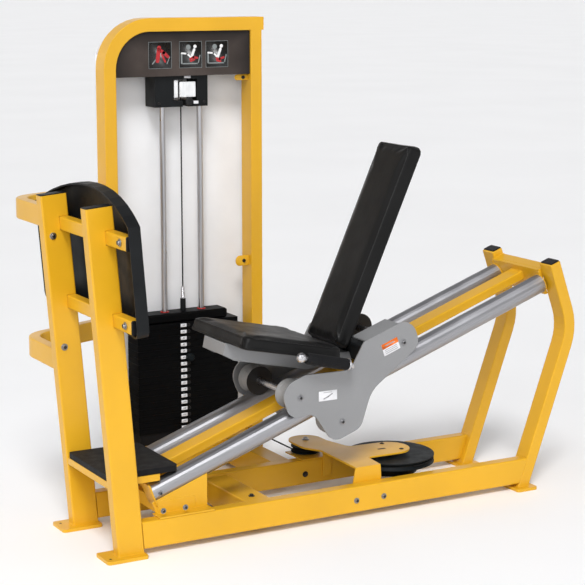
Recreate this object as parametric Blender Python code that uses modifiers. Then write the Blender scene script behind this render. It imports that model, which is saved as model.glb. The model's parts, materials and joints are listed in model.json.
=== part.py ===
"""A seated leg press: an inclined carriage with a seat, a fixed footplate and a tower with a weight stack.

Metres, +Z up. The origin is on the floor, at the middle of the machine's footprint. The user sits on the
carriage facing -X, the footplate is at the -X end, and the weight tower stands on the +Y side.
"""

import math

import bmesh
import bpy
from mathutils import Matrix, Vector

# Where the press stands in the machine's frame: x of the rails' front ends, y of the press's middle plane.
PRESS_X = -0.8688
PRESS_Y = -0.189

GAP = 0.0003
TUBE_WALL = 0.003
TUBE_CORNER = 0.006
PLATE = 0.006
ROUND_STEPS = 20
ARC_STEP = math.radians(24)
LARGE_ARC_STEP = math.radians(9)
LARGE_ARC_RADIUS = 0.032

# Base
BASE_HALF_WIDTH = 0.2345
BASE_TUBE_WIDTH = 0.0508
BASE_TUBE_HEIGHT = 0.1016
BASE_TUBE_BOTTOM = 0.025
BASE_TUBE_TOP = BASE_TUBE_BOTTOM + BASE_TUBE_HEIGHT
CROSSMEMBER_X = 0.5025
CROSSMEMBER_WIDTH = 0.106
CROSSMEMBER_HEIGHT = 0.094
BASE_INNER = BASE_HALF_WIDTH - BASE_TUBE_WIDTH
FOOT_THICKNESS = 0.012

# Front posts and footplate, in a frame that leans with the posts
LEAN = math.radians(4.5)
LEAN_X = -0.042
POST_DEPTH = 0.1016
POST_LENGTH = 1.272
POST_Y = BASE_HALF_WIDTH - BASE_TUBE_WIDTH / 2
CROSSBAR_DEPTH = 0.0381
CROSSBAR_HEIGHT = 0.0508
CROSSBAR_UPPER = 1.164
CROSSBAR_LOWER = 0.871
CROSSBAR_UPPER_HALF = 0.406
CROSSBAR_LOWER_HALF = 0.388
FOOTPLATE_HALF_WIDTH = 0.425
FOOTPLATE_BOTTOM = 0.832
FOOTPLATE_SIDE_TOP = 1.222
FOOTPLATE_CROWN = 0.100
FOOTPLATE_FRONT = 0.099
FOOTPLATE_BULGE = 0.037
FOOTPLATE_RIM = 0.045

# Incline of the guide tubes
INCLINE = math.radians(19.68)
INCLINE_FOOT = (0.070, 0.0, 0.201)
GUIDE_RADIUS = 0.0381
GUIDE_Y = 0.148
GUIDE_LENGTH = 1.8525
BEAM_N = 0.016
BEAM_WIDTH = 0.0762
BEAM_HEIGHT = 0.0381

# Rear posts
REAR_TOP = (1.8215, 0.917)
REAR_BEND = (1.918, 0.649)
REAR_BOTTOM = (1.691, 0.012)
REAR_BEND_RADIUS = 0.22
REAR_DEPTH = 0.0508
REAR_WIDTH = 0.0762
REAR_Y = BASE_HALF_WIDTH - REAR_WIDTH / 2
REAR_FOOT_FRONT = 1.640
REAR_FOOT_BACK = 1.738
REAR_FOOT_OUTER = 0.267
REAR_FOOT_INNER = 0.130
REAR_FOOT_CORNER = 0.012
REAR_CROSSBAR_S = 1.8907
REAR_CROSSBAR_N = 0.0397

# Tower
TOWER_FRONT = 0.6655
TOWER_DEPTH = 0.087
TOWER_Y = TOWER_FRONT + TOWER_DEPTH / 2
TOWER_LEFT = 0.272
TOWER_RIGHT = 0.977
TOWER_TUBE = 0.0515
TOWER_TOP = 1.882
TOWER_INNER_TOP = 1.829
TOWER_BASE_BACK = 0.792

# Weight stack
STACK_X = 0.6375
STACK_Y = 0.7355
ROD_SPREAD = 0.0845
ROD_RADIUS = 0.012
PLATE_PITCH = 0.0272
PLATE_COUNT = 17
LIFTED_COUNT = 6
STACK_BOTTOM = 0.1744
STACK_SIZE = (0.46, 0.10)
BUMPER_INSET = 0.006
BUMPER_BORES_LOW = 0.1
HEAD_SIZE = (0.37, 0.09)
HEAD_TOP = 0.675
PIN_RADIUS = 0.005
HOUSING_BOTTOM = 1.525
TOP_PULLEY_Z = 1.592
TOP_PULLEY_GROOVE = 0.022
CABLE_RADIUS = 0.003

# Pulleys under the seat
CABLE_Z = 0.150
MAIN_PULLEY = (1.195, 0.0)
MAIN_PULLEY_RADIUS = 0.178
MAIN_PULLEY_WIDTH = 0.030
PULLEY_DRUM_RADIUS = 0.110
PULLEY_DRUM_DEPTH = 0.040
CORNER_PULLEY = (0.962, 0.2735)
CORNER_PULLEY_RADIUS = 0.060
GROOVE_DEPTH = 0.008

# Carriage, in the incline frame: s along the tubes, n across them
CARRIAGE_Y = 0.2045
CARRIAGE_PLATE = 0.007
AXLE_FRONT = (0.659, 0.080)
AXLE_REAR = (1.144, 0.081)
AXLE_BOTTOM = (0.793, -0.090)
AXLE_RADIUS = 0.0125
ROLLER_HALF_WIDTH = 0.034
ROLLER_RIM = 0.064
ROLLER_CLEARANCE = 0.0015
HOOD_DEPTH = 0.10
MEMBER_S = 0.998
MEMBER_WIDTH = 0.055

# Seat and back
SEAT_FRONT = (0.420, 0.765)
SEAT_TILT = math.radians(11.8)
SEAT_LENGTH = 0.445
SEAT_WIDTH = 0.47
SEAT_THICKNESS = 0.055
BACK_FOOT = (0.862, 0.655)
BACK_LEAN = math.radians(24)
BACK_LENGTH = 0.84
BACK_WIDTH = 0.26
BACK_THICKNESS = 0.06
GRIP_FRONT = (0.648, 0.6625)
GRIP_REAR = (0.848, 0.615)
GRIP_Y = 0.2655
GRIP_RADIUS = 0.0225
HANDLE_RADIUS = 0.0105
HANDLE_CROSS = (0.868, 0.5965)

SIDES = (("left", -1), ("right", 1))
X_AXIS = Vector((1, 0, 0))
Y_AXIS = Vector((0, 1, 0))
Z_AXIS = Vector((0, 0, 1))


# ---------------------------------------------------------------- scene and materials

def clear_scene():
    for obj in list(bpy.data.objects):
        bpy.data.objects.remove(obj)


def make_collection(name):
    collection = bpy.data.collections.new(name)
    bpy.context.scene.collection.children.link(collection)
    return collection


def make_material(name, colour, roughness, metallic):
    material = bpy.data.materials.new(name)
    material.use_nodes = True
    shader = material.node_tree.nodes["Principled BSDF"]
    shader.inputs["Base Color"].default_value = (*colour, 1)
    shader.inputs["Roughness"].default_value = roughness
    shader.inputs["Metallic"].default_value = metallic
    material.diffuse_color = (*colour, 1)
    return material


def make_empty(name, location, pitch=0.0, parent=None):
    """A frame whose X axis rises by pitch above the horizontal."""
    empty = bpy.data.objects.new(name, None)
    parts.objects.link(empty)
    empty.location = location
    empty.rotation_euler = (0, -pitch, 0)
    empty.parent = parent
    return empty


# ---------------------------------------------------------------- outlines

def arc_points(centre, start, end):
    """Points on the short way round centre, from start to end."""
    first = math.atan2(*(start - centre).yx)
    turn = (math.atan2(*(end - centre).yx) - first + math.pi) % math.tau - math.pi
    radius = (start - centre).length
    step = LARGE_ARC_STEP if radius > LARGE_ARC_RADIUS else ARC_STEP
    steps = max(1, math.ceil(abs(turn) / step))
    return [
        centre + radius * Vector((math.cos(first + turn * k / steps), math.sin(first + turn * k / steps)))
        for k in range(steps + 1)
    ]


def round_corner(before, here, after, radius):
    here = Vector(here)
    back = (Vector(before) - here).normalized()
    ahead = (Vector(after) - here).normalized()
    if radius == 0:
        return [here]
    half = back.angle(ahead) / 2
    reach = radius / math.tan(half)
    centre = here + (back + ahead).normalized() * radius / math.sin(half)
    return arc_points(centre, here + back * reach, here + ahead * reach)


def rounded(corners):
    """A closed outline from its corners, each (x, y, radius)."""
    points = []
    for i, (x, y, radius) in enumerate(corners):
        before = corners[i - 1][:2]
        after = corners[(i + 1) % len(corners)][:2]
        points += round_corner(before, (x, y), after, radius)
    return points


def rectangle(width, height, radius=0.0):
    half_x = width / 2
    half_y = height / 2
    signs = ((-1, -1), (1, -1), (1, 1), (-1, 1))
    return rounded([(half_x * sx, half_y * sy, radius) for sx, sy in signs])


def tube_section(width, height):
    inner = rectangle(width - 2 * TUBE_WALL, height - 2 * TUBE_WALL, TUBE_CORNER - TUBE_WALL)
    return [rectangle(width, height, TUBE_CORNER), inner]


def band(path, width):
    """The outline of a strip along an open path of (x, y, radius)."""
    line = [Vector(path[0][:2])]
    for before, here, after in zip(path, path[1:], path[2:]):
        line += round_corner(before[:2], here[:2], after[:2], here[2])
    line.append(Vector(path[-1][:2]))
    left = []
    right = []
    for i, point in enumerate(line):
        back = (point - line[max(i - 1, 0)]).normalized()
        ahead = (line[min(i + 1, len(line) - 1)] - point).normalized()
        along = (back + ahead).normalized()
        side = Vector((-along.y, along.x))
        stretch = 1 / max(along.dot(ahead or back), along.dot(back or ahead))
        left.append(point + side * stretch * width / 2)
        right.append(point - side * stretch * width / 2)
    return left + right[::-1]


# ---------------------------------------------------------------- solids

def settle(obj, matrix, parent, material, collection=None):
    (collection or parts).objects.link(obj)
    obj.parent = parent
    obj.matrix_basis = matrix
    if material:
        obj.data.materials.append(material)
    return obj


def axes(origin, x_axis, y_axis):
    """A matrix that puts local X and Y along the given directions."""
    x_axis = Vector(x_axis).normalized()
    z_axis = x_axis.cross(Vector(y_axis)).normalized()
    turned = Matrix((x_axis, z_axis.cross(x_axis), z_axis)).transposed()
    return Matrix.Translation(origin) @ turned.to_4x4()


def extrusion(name, loops, thickness, matrix, parent, material):
    """A flat outline, with holes for the further loops, thickened evenly about its plane."""
    curve = bpy.data.curves.new(name, "CURVE")
    curve.dimensions = "2D"
    curve.fill_mode = "BOTH"
    curve.extrude = thickness / 2
    for loop in loops:
        spline = curve.splines.new("POLY")
        spline.points.add(len(loop) - 1)
        spline.use_cyclic_u = True
        for point, place in zip(spline.points, loop):
            point.co = (*place, 0, 1)
    return settle(bpy.data.objects.new(name, curve), matrix, parent, material)


def as_mesh(obj):
    """The same object as a welded mesh, so that it takes modifiers."""
    bpy.context.view_layer.update()
    evaluated = obj.evaluated_get(bpy.context.evaluated_depsgraph_get())
    mesh = bpy.data.meshes.new_from_object(evaluated)
    welder = bmesh.new()
    welder.from_mesh(mesh)
    bmesh.ops.remove_doubles(welder, verts=welder.verts, dist=1e-5)
    bmesh.ops.recalc_face_normals(welder, faces=welder.faces)
    welder.to_mesh(mesh)
    welder.free()
    name = obj.name
    parent = obj.parent
    matrix = obj.matrix_basis.copy()
    collection = obj.users_collection[0]
    bpy.data.objects.remove(obj)
    solid = bpy.data.objects.new(name, mesh)
    return settle(solid, matrix, parent, None, collection)


def box(name, low, high, parent, material):
    """A box between two corners of its parent's frame."""
    low = Vector(low)
    high = Vector(high)
    mesh = bpy.data.meshes.new(name)
    maker = bmesh.new()
    bmesh.ops.create_cube(maker, size=1)
    bmesh.ops.scale(maker, vec=high - low, verts=maker.verts)
    maker.to_mesh(mesh)
    maker.free()
    return settle(bpy.data.objects.new(name, mesh), Matrix.Translation((low + high) / 2), parent, material)


def rod(name, start, end, radius, parent, material, sides=ROUND_STEPS):
    """A round bar between two points of its parent's frame."""
    start = Vector(start)
    end = Vector(end)
    mesh = bpy.data.meshes.new(name)
    maker = bmesh.new()
    bmesh.ops.create_cone(
        maker, cap_ends=True, segments=sides, radius1=radius, radius2=radius, depth=(end - start).length
    )
    maker.to_mesh(mesh)
    maker.free()
    turn = Z_AXIS.rotation_difference(end - start).to_matrix().to_4x4()
    obj = settle(
        bpy.data.objects.new(name, mesh), Matrix.Translation((start + end) / 2) @ turn, parent, material
    )
    shade(obj)
    return obj


def turned(name, profile, matrix, parent, material, steps=ROUND_STEPS):
    """A profile of (radius, height) pairs, closed on itself, turned about local Z."""
    mesh = bpy.data.meshes.new(name)
    count = len(profile)
    edges = [(i, (i + 1) % count) for i in range(count)]
    mesh.from_pydata([(radius, 0, height) for radius, height in profile], edges, [])
    obj = settle(bpy.data.objects.new(name, mesh), matrix, parent, material)
    screw = obj.modifiers.new("turn", "SCREW")
    screw.steps = steps
    screw.render_steps = steps
    screw.use_merge_vertices = True
    screw.merge_threshold = 1e-5
    return obj


def tube(name, start, end, width, height, parent, material, up=Z_AXIS):
    """A hollow rectangular tube; height is measured along up."""
    start = Vector(start)
    end = Vector(end)
    along = (end - start).normalized()
    matrix = axes((start + end) / 2, Vector(up).cross(along), up)
    return extrusion(name, tube_section(width, height), (end - start).length, matrix, parent, material)


def wire(name, points, radius, parent, material):
    """A round wire through the points, with filled ends."""
    curve = bpy.data.curves.new(name, "CURVE")
    curve.dimensions = "3D"
    curve.bevel_depth = radius
    curve.bevel_resolution = 2
    curve.use_fill_caps = True
    spline = curve.splines.new("POLY")
    spline.points.add(len(points) - 1)
    for point, place in zip(spline.points, points):
        point.co = (*place, 1)
    return settle(bpy.data.objects.new(name, curve), Matrix(), parent, material)


def shade(obj, degrees=35):
    obj.data.shade_smooth()
    obj.data.set_sharp_from_angle(angle=math.radians(degrees))


def soften(obj, width, segments=2):
    """Rounds the sharp edges."""
    bevel = obj.modifiers.new("soft edges", "BEVEL")
    bevel.width = width
    bevel.segments = segments
    bevel.limit_method = "ANGLE"
    bevel.angle_limit = math.radians(50)
    bevel.loop_slide = False


def combine(obj, other, operation):
    """Cuts, joins or crosses obj with a helper, which is then hidden."""
    for collection in list(other.users_collection):
        collection.objects.unlink(other)
    cutters.objects.link(other)
    other.hide_render = True
    other.display_type = "WIRE"
    modifier = obj.modifiers.new(other.name, "BOOLEAN")
    modifier.operation = operation
    modifier.solver = "EXACT"
    modifier.object = other


def cut(obj, *others):
    for other in others:
        combine(obj, other, "DIFFERENCE")


def join(obj, *others):
    for other in others:
        combine(obj, other, "UNION")


SIDE_VIEW = axes((0, 0, 0), X_AXIS, Z_AXIS)
FRONT_VIEW = axes((0, 0, 0), Y_AXIS, Z_AXIS)


def side_view(y):
    """A plane in which outlines are (x, z), at the given y."""
    return Matrix.Translation((0, y, 0)) @ SIDE_VIEW


def front_view(x):
    """A plane in which outlines are (y, z), at the given x."""
    return Matrix.Translation((x, 0, 0)) @ FRONT_VIEW


def plan_view(z):
    """A plane in which outlines are (x, y), at the given z."""
    return Matrix.Translation((0, 0, z))


def incline_point(s, y, n):
    """A point of the incline frame in the press's frame."""
    along = Vector((math.cos(INCLINE), 0, math.sin(INCLINE)))
    across = Vector((-math.sin(INCLINE), 0, math.cos(INCLINE)))
    return Vector(INCLINE_FOOT) + s * along + n * across + y * Y_AXIS


# ---------------------------------------------------------------- base frame

def base_rails():
    post_face = POST_DEPTH / 2 + GAP
    rear_lean = math.atan2(REAR_BEND[0] - REAR_BOTTOM[0], REAR_BEND[1] - REAR_BOTTOM[1])
    rear_face = make_empty("rear_leg_frame", (REAR_BOTTOM[0], 0, REAR_BOTTOM[1]), -rear_lean, press)
    for side, sign in SIDES:
        y = sign * (BASE_HALF_WIDTH - BASE_TUBE_WIDTH / 2)
        z = BASE_TUBE_BOTTOM + BASE_TUBE_HEIGHT / 2
        rail = as_mesh(
            tube(f"rail_{side}", (-0.05, y, z), (1.76, y, z), BASE_TUBE_WIDTH, BASE_TUBE_HEIGHT, press, None)
        )
        rail.data.materials.append(yellow)
        front = box(f"rail_front_cut_{side}", (-0.3, y - 0.1, -0.2), (post_face, y + 0.1, 0.3), lean, None)
        rear_low = (-REAR_DEPTH / 2 - GAP, y - 0.1, -0.2)
        rear = box(f"rail_rear_cut_{side}", rear_low, (0.3, y + 0.1, 0.3), rear_face, None)
        cut(rail, front, rear)
        shade(rail)


def front_feet():
    for side, sign in SIDES:
        outer = sign * 0.268
        inner = sign * 0.150
        corners = [(x, y, 0.012) for x, y in ((-0.148, outer), (0.011, outer), (0.011, inner), (-0.148, inner))]
        hole = [
            Vector((-0.126 + 0.007 * math.cos(a), sign * 0.236 + 0.007 * math.sin(a))) for a in circle(10)
        ]
        loops = [rounded(corners), hole]
        extrusion(f"front_foot_{side}", loops, FOOT_THICKNESS, plan_view(FOOT_THICKNESS / 2), press, yellow)


def rear_feet():
    for side, sign in SIDES:
        outer = sign * REAR_FOOT_OUTER
        inner = sign * REAR_FOOT_INNER
        corners = [
            (x, y, REAR_FOOT_CORNER)
            for x, y in (
                (REAR_FOOT_FRONT, outer), (REAR_FOOT_BACK, outer), (REAR_FOOT_BACK, inner), (REAR_FOOT_FRONT, inner)
            )
        ]
        flat = plan_view(FOOT_THICKNESS / 2)
        extrusion(f"rear_foot_{side}", [rounded(corners)], FOOT_THICKNESS, flat, press, yellow)


def circle(count):
    return [math.tau * k / count for k in range(count)]


def floor_cut(name):
    return box(name, (-1, -1, -0.5), (3, 2, FOOT_THICKNESS + GAP), press, None)


def front_posts():
    for side, sign in SIDES:
        y = sign * POST_Y
        post = as_mesh(
            tube(f"front_post_{side}", (0, y, -0.02), (0, y, POST_LENGTH), BASE_TUBE_WIDTH, POST_DEPTH, lean, None,
                 up=X_AXIS)
        )
        post.data.materials.append(yellow)
        cut(post, floor_cut(f"front_floor_cut_{side}"))
        for level, w in (("upper", CROSSBAR_UPPER), ("lower", CROSSBAR_LOWER)):
            low = (POST_DEPTH / 2 - CROSSBAR_DEPTH - GAP, y - 0.1, w - CROSSBAR_HEIGHT / 2 - GAP)
            high = (POST_DEPTH, y + 0.1, w + CROSSBAR_HEIGHT / 2 + GAP)
            cut(post, box(f"{level}_notch_{side}", low, high, lean, None))
        shade(post)


def crossbars():
    u = POST_DEPTH / 2 - CROSSBAR_DEPTH / 2
    for level, w, half in (
        ("upper", CROSSBAR_UPPER, CROSSBAR_UPPER_HALF),
        ("lower", CROSSBAR_LOWER, CROSSBAR_LOWER_HALF),
    ):
        tube(f"{level}_crossbar", (u, -half, w), (u, half, w), CROSSBAR_DEPTH, CROSSBAR_HEIGHT, lean, yellow)


def footplate_outline(inset):
    """The footplate from the user's side: square below, with a crowned top."""
    half = FOOTPLATE_HALF_WIDTH - inset
    crown = FOOTPLATE_CROWN
    radius = (FOOTPLATE_HALF_WIDTH ** 2 + crown ** 2) / (2 * crown)
    centre = FOOTPLATE_SIDE_TOP + crown - radius
    radius -= inset
    reach = math.asin(half / radius)
    top = []
    for k in range(13):
        angle = reach * (1 - k / 6)
        top.append((radius * math.sin(angle), centre + radius * math.cos(angle), 0.0))
    low = FOOTPLATE_BOTTOM + inset
    corner = 0.045 - inset
    return rounded([(-half, low, corner), (half, low, corner)] + top)


def footplate_slab(name, shift, depth, w_low, w_high):
    """A slab with the footplate's bulge, its front face moved back by shift."""
    reach = FOOTPLATE_HALF_WIDTH + 0.02
    radius = (FOOTPLATE_HALF_WIDTH ** 2 + FOOTPLATE_BULGE ** 2) / (2 * FOOTPLATE_BULGE)
    front = []
    for k in range(17):
        y = reach * (k / 8 - 1)
        front.append((FOOTPLATE_FRONT - shift - radius + math.sqrt(radius ** 2 - y ** 2), y))
    back = [(u - depth, y) for u, y in reversed(front)]
    matrix = plan_view((w_low + w_high) / 2)
    return as_mesh(extrusion(name, [front + back], w_high - w_low, matrix, lean, None))


def footplate():
    body = as_mesh(extrusion("footplate", [footplate_outline(0)], 0.30, front_view(0.05), lean, None))
    body.data.materials.append(black)
    combine(body, footplate_slab("footplate_skin", 0, FOOTPLATE_RIM, 0.7, 1.4), "INTERSECT")
    hollow = as_mesh(
        extrusion("footplate_hollow", [footplate_outline(PLATE)], 0.28, front_view(0.05), lean, None)
    )
    combine(hollow, footplate_slab("hollow_skin", PLATE, 0.2, 0.7, 1.4), "INTERSECT")
    cut(body, hollow)
    low = (-0.2, -0.27, FOOTPLATE_BOTTOM - 0.1)
    high = (POST_DEPTH / 2 + GAP, 0.27, FOOTPLATE_BOTTOM + 0.03)
    cut(body, box("post_relief", low, high, lean, None))
    for side, sign in SIDES:
        for level, w in (("upper", CROSSBAR_UPPER), ("lower", CROSSBAR_LOWER)):
            low = (POST_DEPTH / 2 + GAP, sign * 0.30 - 0.03, w - 0.018)
            high = (FOOTPLATE_FRONT - FOOTPLATE_BULGE * 0.62, sign * 0.30 + 0.03, w + 0.018)
            join(body, box(f"footplate_pad_{level}_{side}", low, high, lean, None))
    shade(body)


def step():
    reach = BASE_INNER - GAP
    tray = box("step_tray", (-0.112, -reach, 0.2555), (0.095, reach, 0.2797), press, yellow)
    hollow = box("step_tray_hollow", (-0.108, -reach + 0.004, 0.2), (0.091, reach - 0.004, 0.2757), press, None)
    cut(tray, hollow)
    half = 0.178
    corners = [(-0.110, -half, 0.01), (0.172, -half, 0.02), (0.172, half, 0.02), (-0.110, half, 0.01)]
    extrusion("step_pad", [rounded(corners)], 0.022, plan_view(0.291), press, black)


def rear_posts():
    slope = Vector(REAR_BOTTOM) - Vector(REAR_BEND)
    below = Vector(REAR_BOTTOM) + slope.normalized() * 0.03
    outline = band([(*REAR_TOP, 0), (*REAR_BEND, REAR_BEND_RADIUS), (*below, 0)], REAR_DEPTH)
    for side, sign in SIDES:
        post = as_mesh(
            extrusion(f"rear_post_{side}", [outline], REAR_WIDTH, side_view(sign * REAR_Y), press, None)
        )
        post.data.materials.append(yellow)
        soften(post, 0.005)
        cut(post, floor_cut(f"rear_floor_cut_{side}"))
        shade(post)


def rear_crossbar():
    reach = BASE_HALF_WIDTH - REAR_WIDTH - GAP
    front = REAR_CROSSBAR_S - REAR_DEPTH / 2
    bar = as_mesh(
        tube("rear_crossbar", (REAR_CROSSBAR_S, -reach, REAR_CROSSBAR_N),
             (REAR_CROSSBAR_S, reach, REAR_CROSSBAR_N), REAR_DEPTH, 0.0381, incline, None)
    )
    bar.data.materials.append(yellow)
    plate = box("tube_end_plate", (front - 0.012, -reach, -0.050), (front + 0.0015, reach, 0.0585), incline, None)
    join(bar, plate)
    shade(bar)


def guide_tubes():
    inner = [(GUIDE_RADIUS - TUBE_WALL) * Vector((math.cos(a), math.sin(a))) for a in circle(24)]
    outer = [GUIDE_RADIUS * Vector((math.cos(a), math.sin(a))) for a in circle(24)]
    for side, sign in SIDES:
        matrix = axes((GUIDE_LENGTH / 2, sign * GUIDE_Y, 0), Y_AXIS, Z_AXIS)
        guide = as_mesh(extrusion(f"guide_tube_{side}", [outer, inner], GUIDE_LENGTH, matrix, incline, None))
        guide.data.materials.append(chrome)
        shade(guide)


def centre_beam():
    end = REAR_CROSSBAR_S - REAR_DEPTH / 2 - 0.012 - GAP
    tube("centre_beam", (0.03, 0, BEAM_N), (end, 0, BEAM_N), BEAM_WIDTH, BEAM_HEIGHT, incline, yellow)


def front_bracket():
    """Carries the lower ends of the guide tubes and of the centre beam between the rails."""
    reach = BASE_INNER - 0.002
    floor = BASE_TUBE_TOP + GAP
    bracket = box("front_bracket", (0.088, -reach, floor + 0.002), (0.236, reach, 0.178), press, yellow)
    cheek = [(0.080, floor + 0.001, 0), (0.286, floor + 0.001, 0), (0.286, 0.266, 0), (0.060, 0.188, 0)]
    for side, sign in SIDES:
        plate = as_mesh(
            extrusion(f"bracket_cheek_{side}", [rounded(cheek)], PLATE, side_view(sign * (reach - 0.004)),
                      press, None)
        )
        low_y, high_y = sorted((sign * (reach - 0.012), sign * BASE_HALF_WIDTH))
        flange = box(f"bracket_flange_{side}", (0.070, low_y, floor), (0.290, high_y, floor + PLATE), press, None)
        join(bracket, plate, flange)
    join(bracket, box("beam_support", (0.11, -0.03, 0.17), (0.20, 0.03, 0.262), press, None))
    for side, sign in SIDES:
        start = incline_point(-0.1, sign * GUIDE_Y, 0)
        end = incline_point(0.5, sign * GUIDE_Y, 0)
        cut(bracket, rod(f"guide_saddle_{side}", start, end, GUIDE_RADIUS + 0.0008, press, None, 24))
    low = (-0.1, -BEAM_WIDTH / 2 - GAP, BEAM_N - BEAM_HEIGHT / 2 - GAP)
    cut(bracket, box("beam_seat", low, (0.5, BEAM_WIDTH / 2 + GAP, 0.2), incline, None))


def middle_crossmember():
    reach = BASE_INNER - GAP
    z = BASE_TUBE_BOTTOM + CROSSMEMBER_HEIGHT / 2
    ends = [(CROSSMEMBER_X, y, z) for y in (-reach, reach)]
    tube("middle_crossmember", *ends, CROSSMEMBER_WIDTH, CROSSMEMBER_HEIGHT, press, yellow)


# ---------------------------------------------------------------- tower

def stays():
    for level, x, z in (("upper", -0.155, 1.186), ("lower", -0.112, 0.645)):
        rise = (TOWER_LEFT - x) * 0.398
        path = [(x, BASE_HALF_WIDTH + GAP, 0), (x, 0.706 - rise, 0.12), (TOWER_LEFT + 0.04, 0.706 + 0.016, 0)]
        stay = as_mesh(
            extrusion(f"{level}_stay", [band(path, 0.0445)], 0.0762, plan_view(z), press, None)
        )
        stay.data.materials.append(yellow)
        soften(stay, 0.005)
        cut(stay, box(f"{level}_stay_cut", (TOWER_LEFT - GAP, 0.5, 0.4), (0.6, 0.9, 1.5), press, None))
        shade(stay)


def tower_arch():
    left = TOWER_LEFT + TOWER_TUBE
    right = TOWER_RIGHT - TOWER_TUBE
    low = FOOT_THICKNESS + GAP
    corners = [
        (TOWER_LEFT, low, 0),
        (left, low, 0),
        (left, TOWER_INNER_TOP, 0.15),
        (right, TOWER_INNER_TOP, 0),
        (right, low, 0),
        (TOWER_RIGHT, low, 0),
        (TOWER_RIGHT, TOWER_INNER_TOP, 0),
        (TOWER_RIGHT + 0.010, TOWER_INNER_TOP, 0),
        (TOWER_RIGHT + 0.010, TOWER_TOP, 0),
        (TOWER_LEFT, TOWER_TOP, 0.20),
    ]
    arch = as_mesh(extrusion("tower_arch", [rounded(corners)], TOWER_DEPTH, side_view(TOWER_Y), press, None))
    arch.data.materials.append(yellow)
    soften(arch, 0.005)
    shade(arch)


def tower_base():
    """The beam under the stack with its two floor plates, and the arm that ties it to the press."""
    inner = (TOWER_LEFT + TOWER_TUBE + GAP, TOWER_RIGHT - TOWER_TUBE - GAP)
    base = box(
        "tower_base", (inner[0], TOWER_FRONT, FOOT_THICKNESS - 0.001), (inner[1], TOWER_BASE_BACK, BASE_TUBE_TOP),
        press, yellow,
    )
    for side, x in (("left", TOWER_LEFT), ("right", TOWER_RIGHT - TOWER_TUBE)):
        low = (x - 0.045, TOWER_FRONT - 0.040, 0)
        high = (x + TOWER_TUBE + 0.045, TOWER_BASE_BACK + 0.010, FOOT_THICKNESS)
        join(base, box(f"tower_foot_{side}", low, high, press, None))
    low = (0.782, BASE_HALF_WIDTH + GAP, BASE_TUBE_BOTTOM)
    join(base, box("tower_arm", low, (0.858, TOWER_FRONT + 0.001, BASE_TUBE_TOP - 0.001), press, None))


def placard():
    left = TOWER_LEFT + TOWER_TUBE + GAP
    right = TOWER_RIGHT - TOWER_TUBE - GAP
    top = TOWER_INNER_TOP - GAP
    corners = [(left, 1.650, 0), (right, 1.650, 0), (right, top, 0.008), (left, top, 0.15)]
    extrusion("placard", [rounded(corners)], 0.004, side_view(0.676), press, black)


def shroud():
    """A folded sheet that closes the tower's back."""
    front = TOWER_FRONT + TOWER_DEPTH + GAP
    back = TOWER_BASE_BACK + 0.011
    left = TOWER_LEFT + 0.020
    right = TOWER_RIGHT - 0.020
    outline = [
        (left, front), (left + 0.003, front), (left + 0.003, back - 0.003), (right - 0.003, back - 0.003),
        (right - 0.003, front), (right, front), (right, back), (left, back),
    ]
    low = BASE_TUBE_TOP + 0.004
    top = TOWER_TOP - 0.020
    sheet = as_mesh(extrusion("shroud", [outline], top - low, plan_view((top + low) / 2), press, None))
    sheet.data.materials.append(light_grey)
    corners = [
        (left - 0.01, low - 0.01, 0), (right + 0.01, low - 0.01, 0), (right + 0.01, top, 0), (left - 0.01, top, 0.19)
    ]
    combine(sheet, as_mesh(extrusion("shroud_edge", [rounded(corners)], 0.3, side_view(back), press, None)),
            "INTERSECT")


def pulley_housing():
    """Holds the top pulley and the upper ends of the guide rods, and hangs from the arch behind the placard."""
    back = STACK_Y + 0.050
    housing = box("pulley_housing", (0.503, 0.690, HOUSING_BOTTOM), (0.738, back, 1.662), press, black)
    hanger = box("housing_hanger", (0.560, 0.690, 1.655), (0.715, back - 0.04, TOWER_INNER_TOP - GAP), press, None)
    join(housing, hanger)
    window = box("housing_window", (0.585, 0.60, 1.548), (0.690, 0.9, 1.636), press, None)
    slot = box("housing_slot", (STACK_X - 0.012, 0.60, 1.50), (STACK_X + 0.012, 0.9, 1.56), press, None)
    cut(housing, window, slot)


def top_pulley():
    y = STACK_Y + TOP_PULLEY_GROOVE + CABLE_RADIUS + 0.0008
    place = axes((STACK_X, y, TOP_PULLEY_Z), Y_AXIS, Z_AXIS)
    turned("top_pulley", grooved_profile(TOP_PULLEY_GROOVE + GROOVE_DEPTH, 0.024, 0.0065), place, press, light_grey)


def grooved_profile(radius, width, bore, drum=()):
    """A pulley's closed section: flanges, a V groove, a bore and, below it, a smaller drum."""
    half = width / 2
    return [
        (radius, half), (radius, half - 0.004), (radius - GROOVE_DEPTH, 0.002), (radius - GROOVE_DEPTH, -0.002),
        (radius, -half + 0.004), (radius, -half), *drum, (bore, drum[-1][1] if drum else -half), (bore, half),
    ]


def guide_rods():
    for side, sign in SIDES:
        x = STACK_X + sign * ROD_SPREAD
        start = (x, STACK_Y, BASE_TUBE_TOP + GAP)
        rod(f"guide_rod_{side}", start, (x, STACK_Y, HOUSING_BOTTOM - GAP), ROD_RADIUS, press, chrome, 16)


# ---------------------------------------------------------------- weight stack

def rod_bores(name, low, high):
    return [
        rod(f"{name}_bore_{side}", (STACK_X + sign * ROD_SPREAD, STACK_Y, low),
            (STACK_X + sign * ROD_SPREAD, STACK_Y, high), ROD_RADIUS + 0.0015, press, None, 16)
        for side, sign in SIDES
    ]


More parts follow.
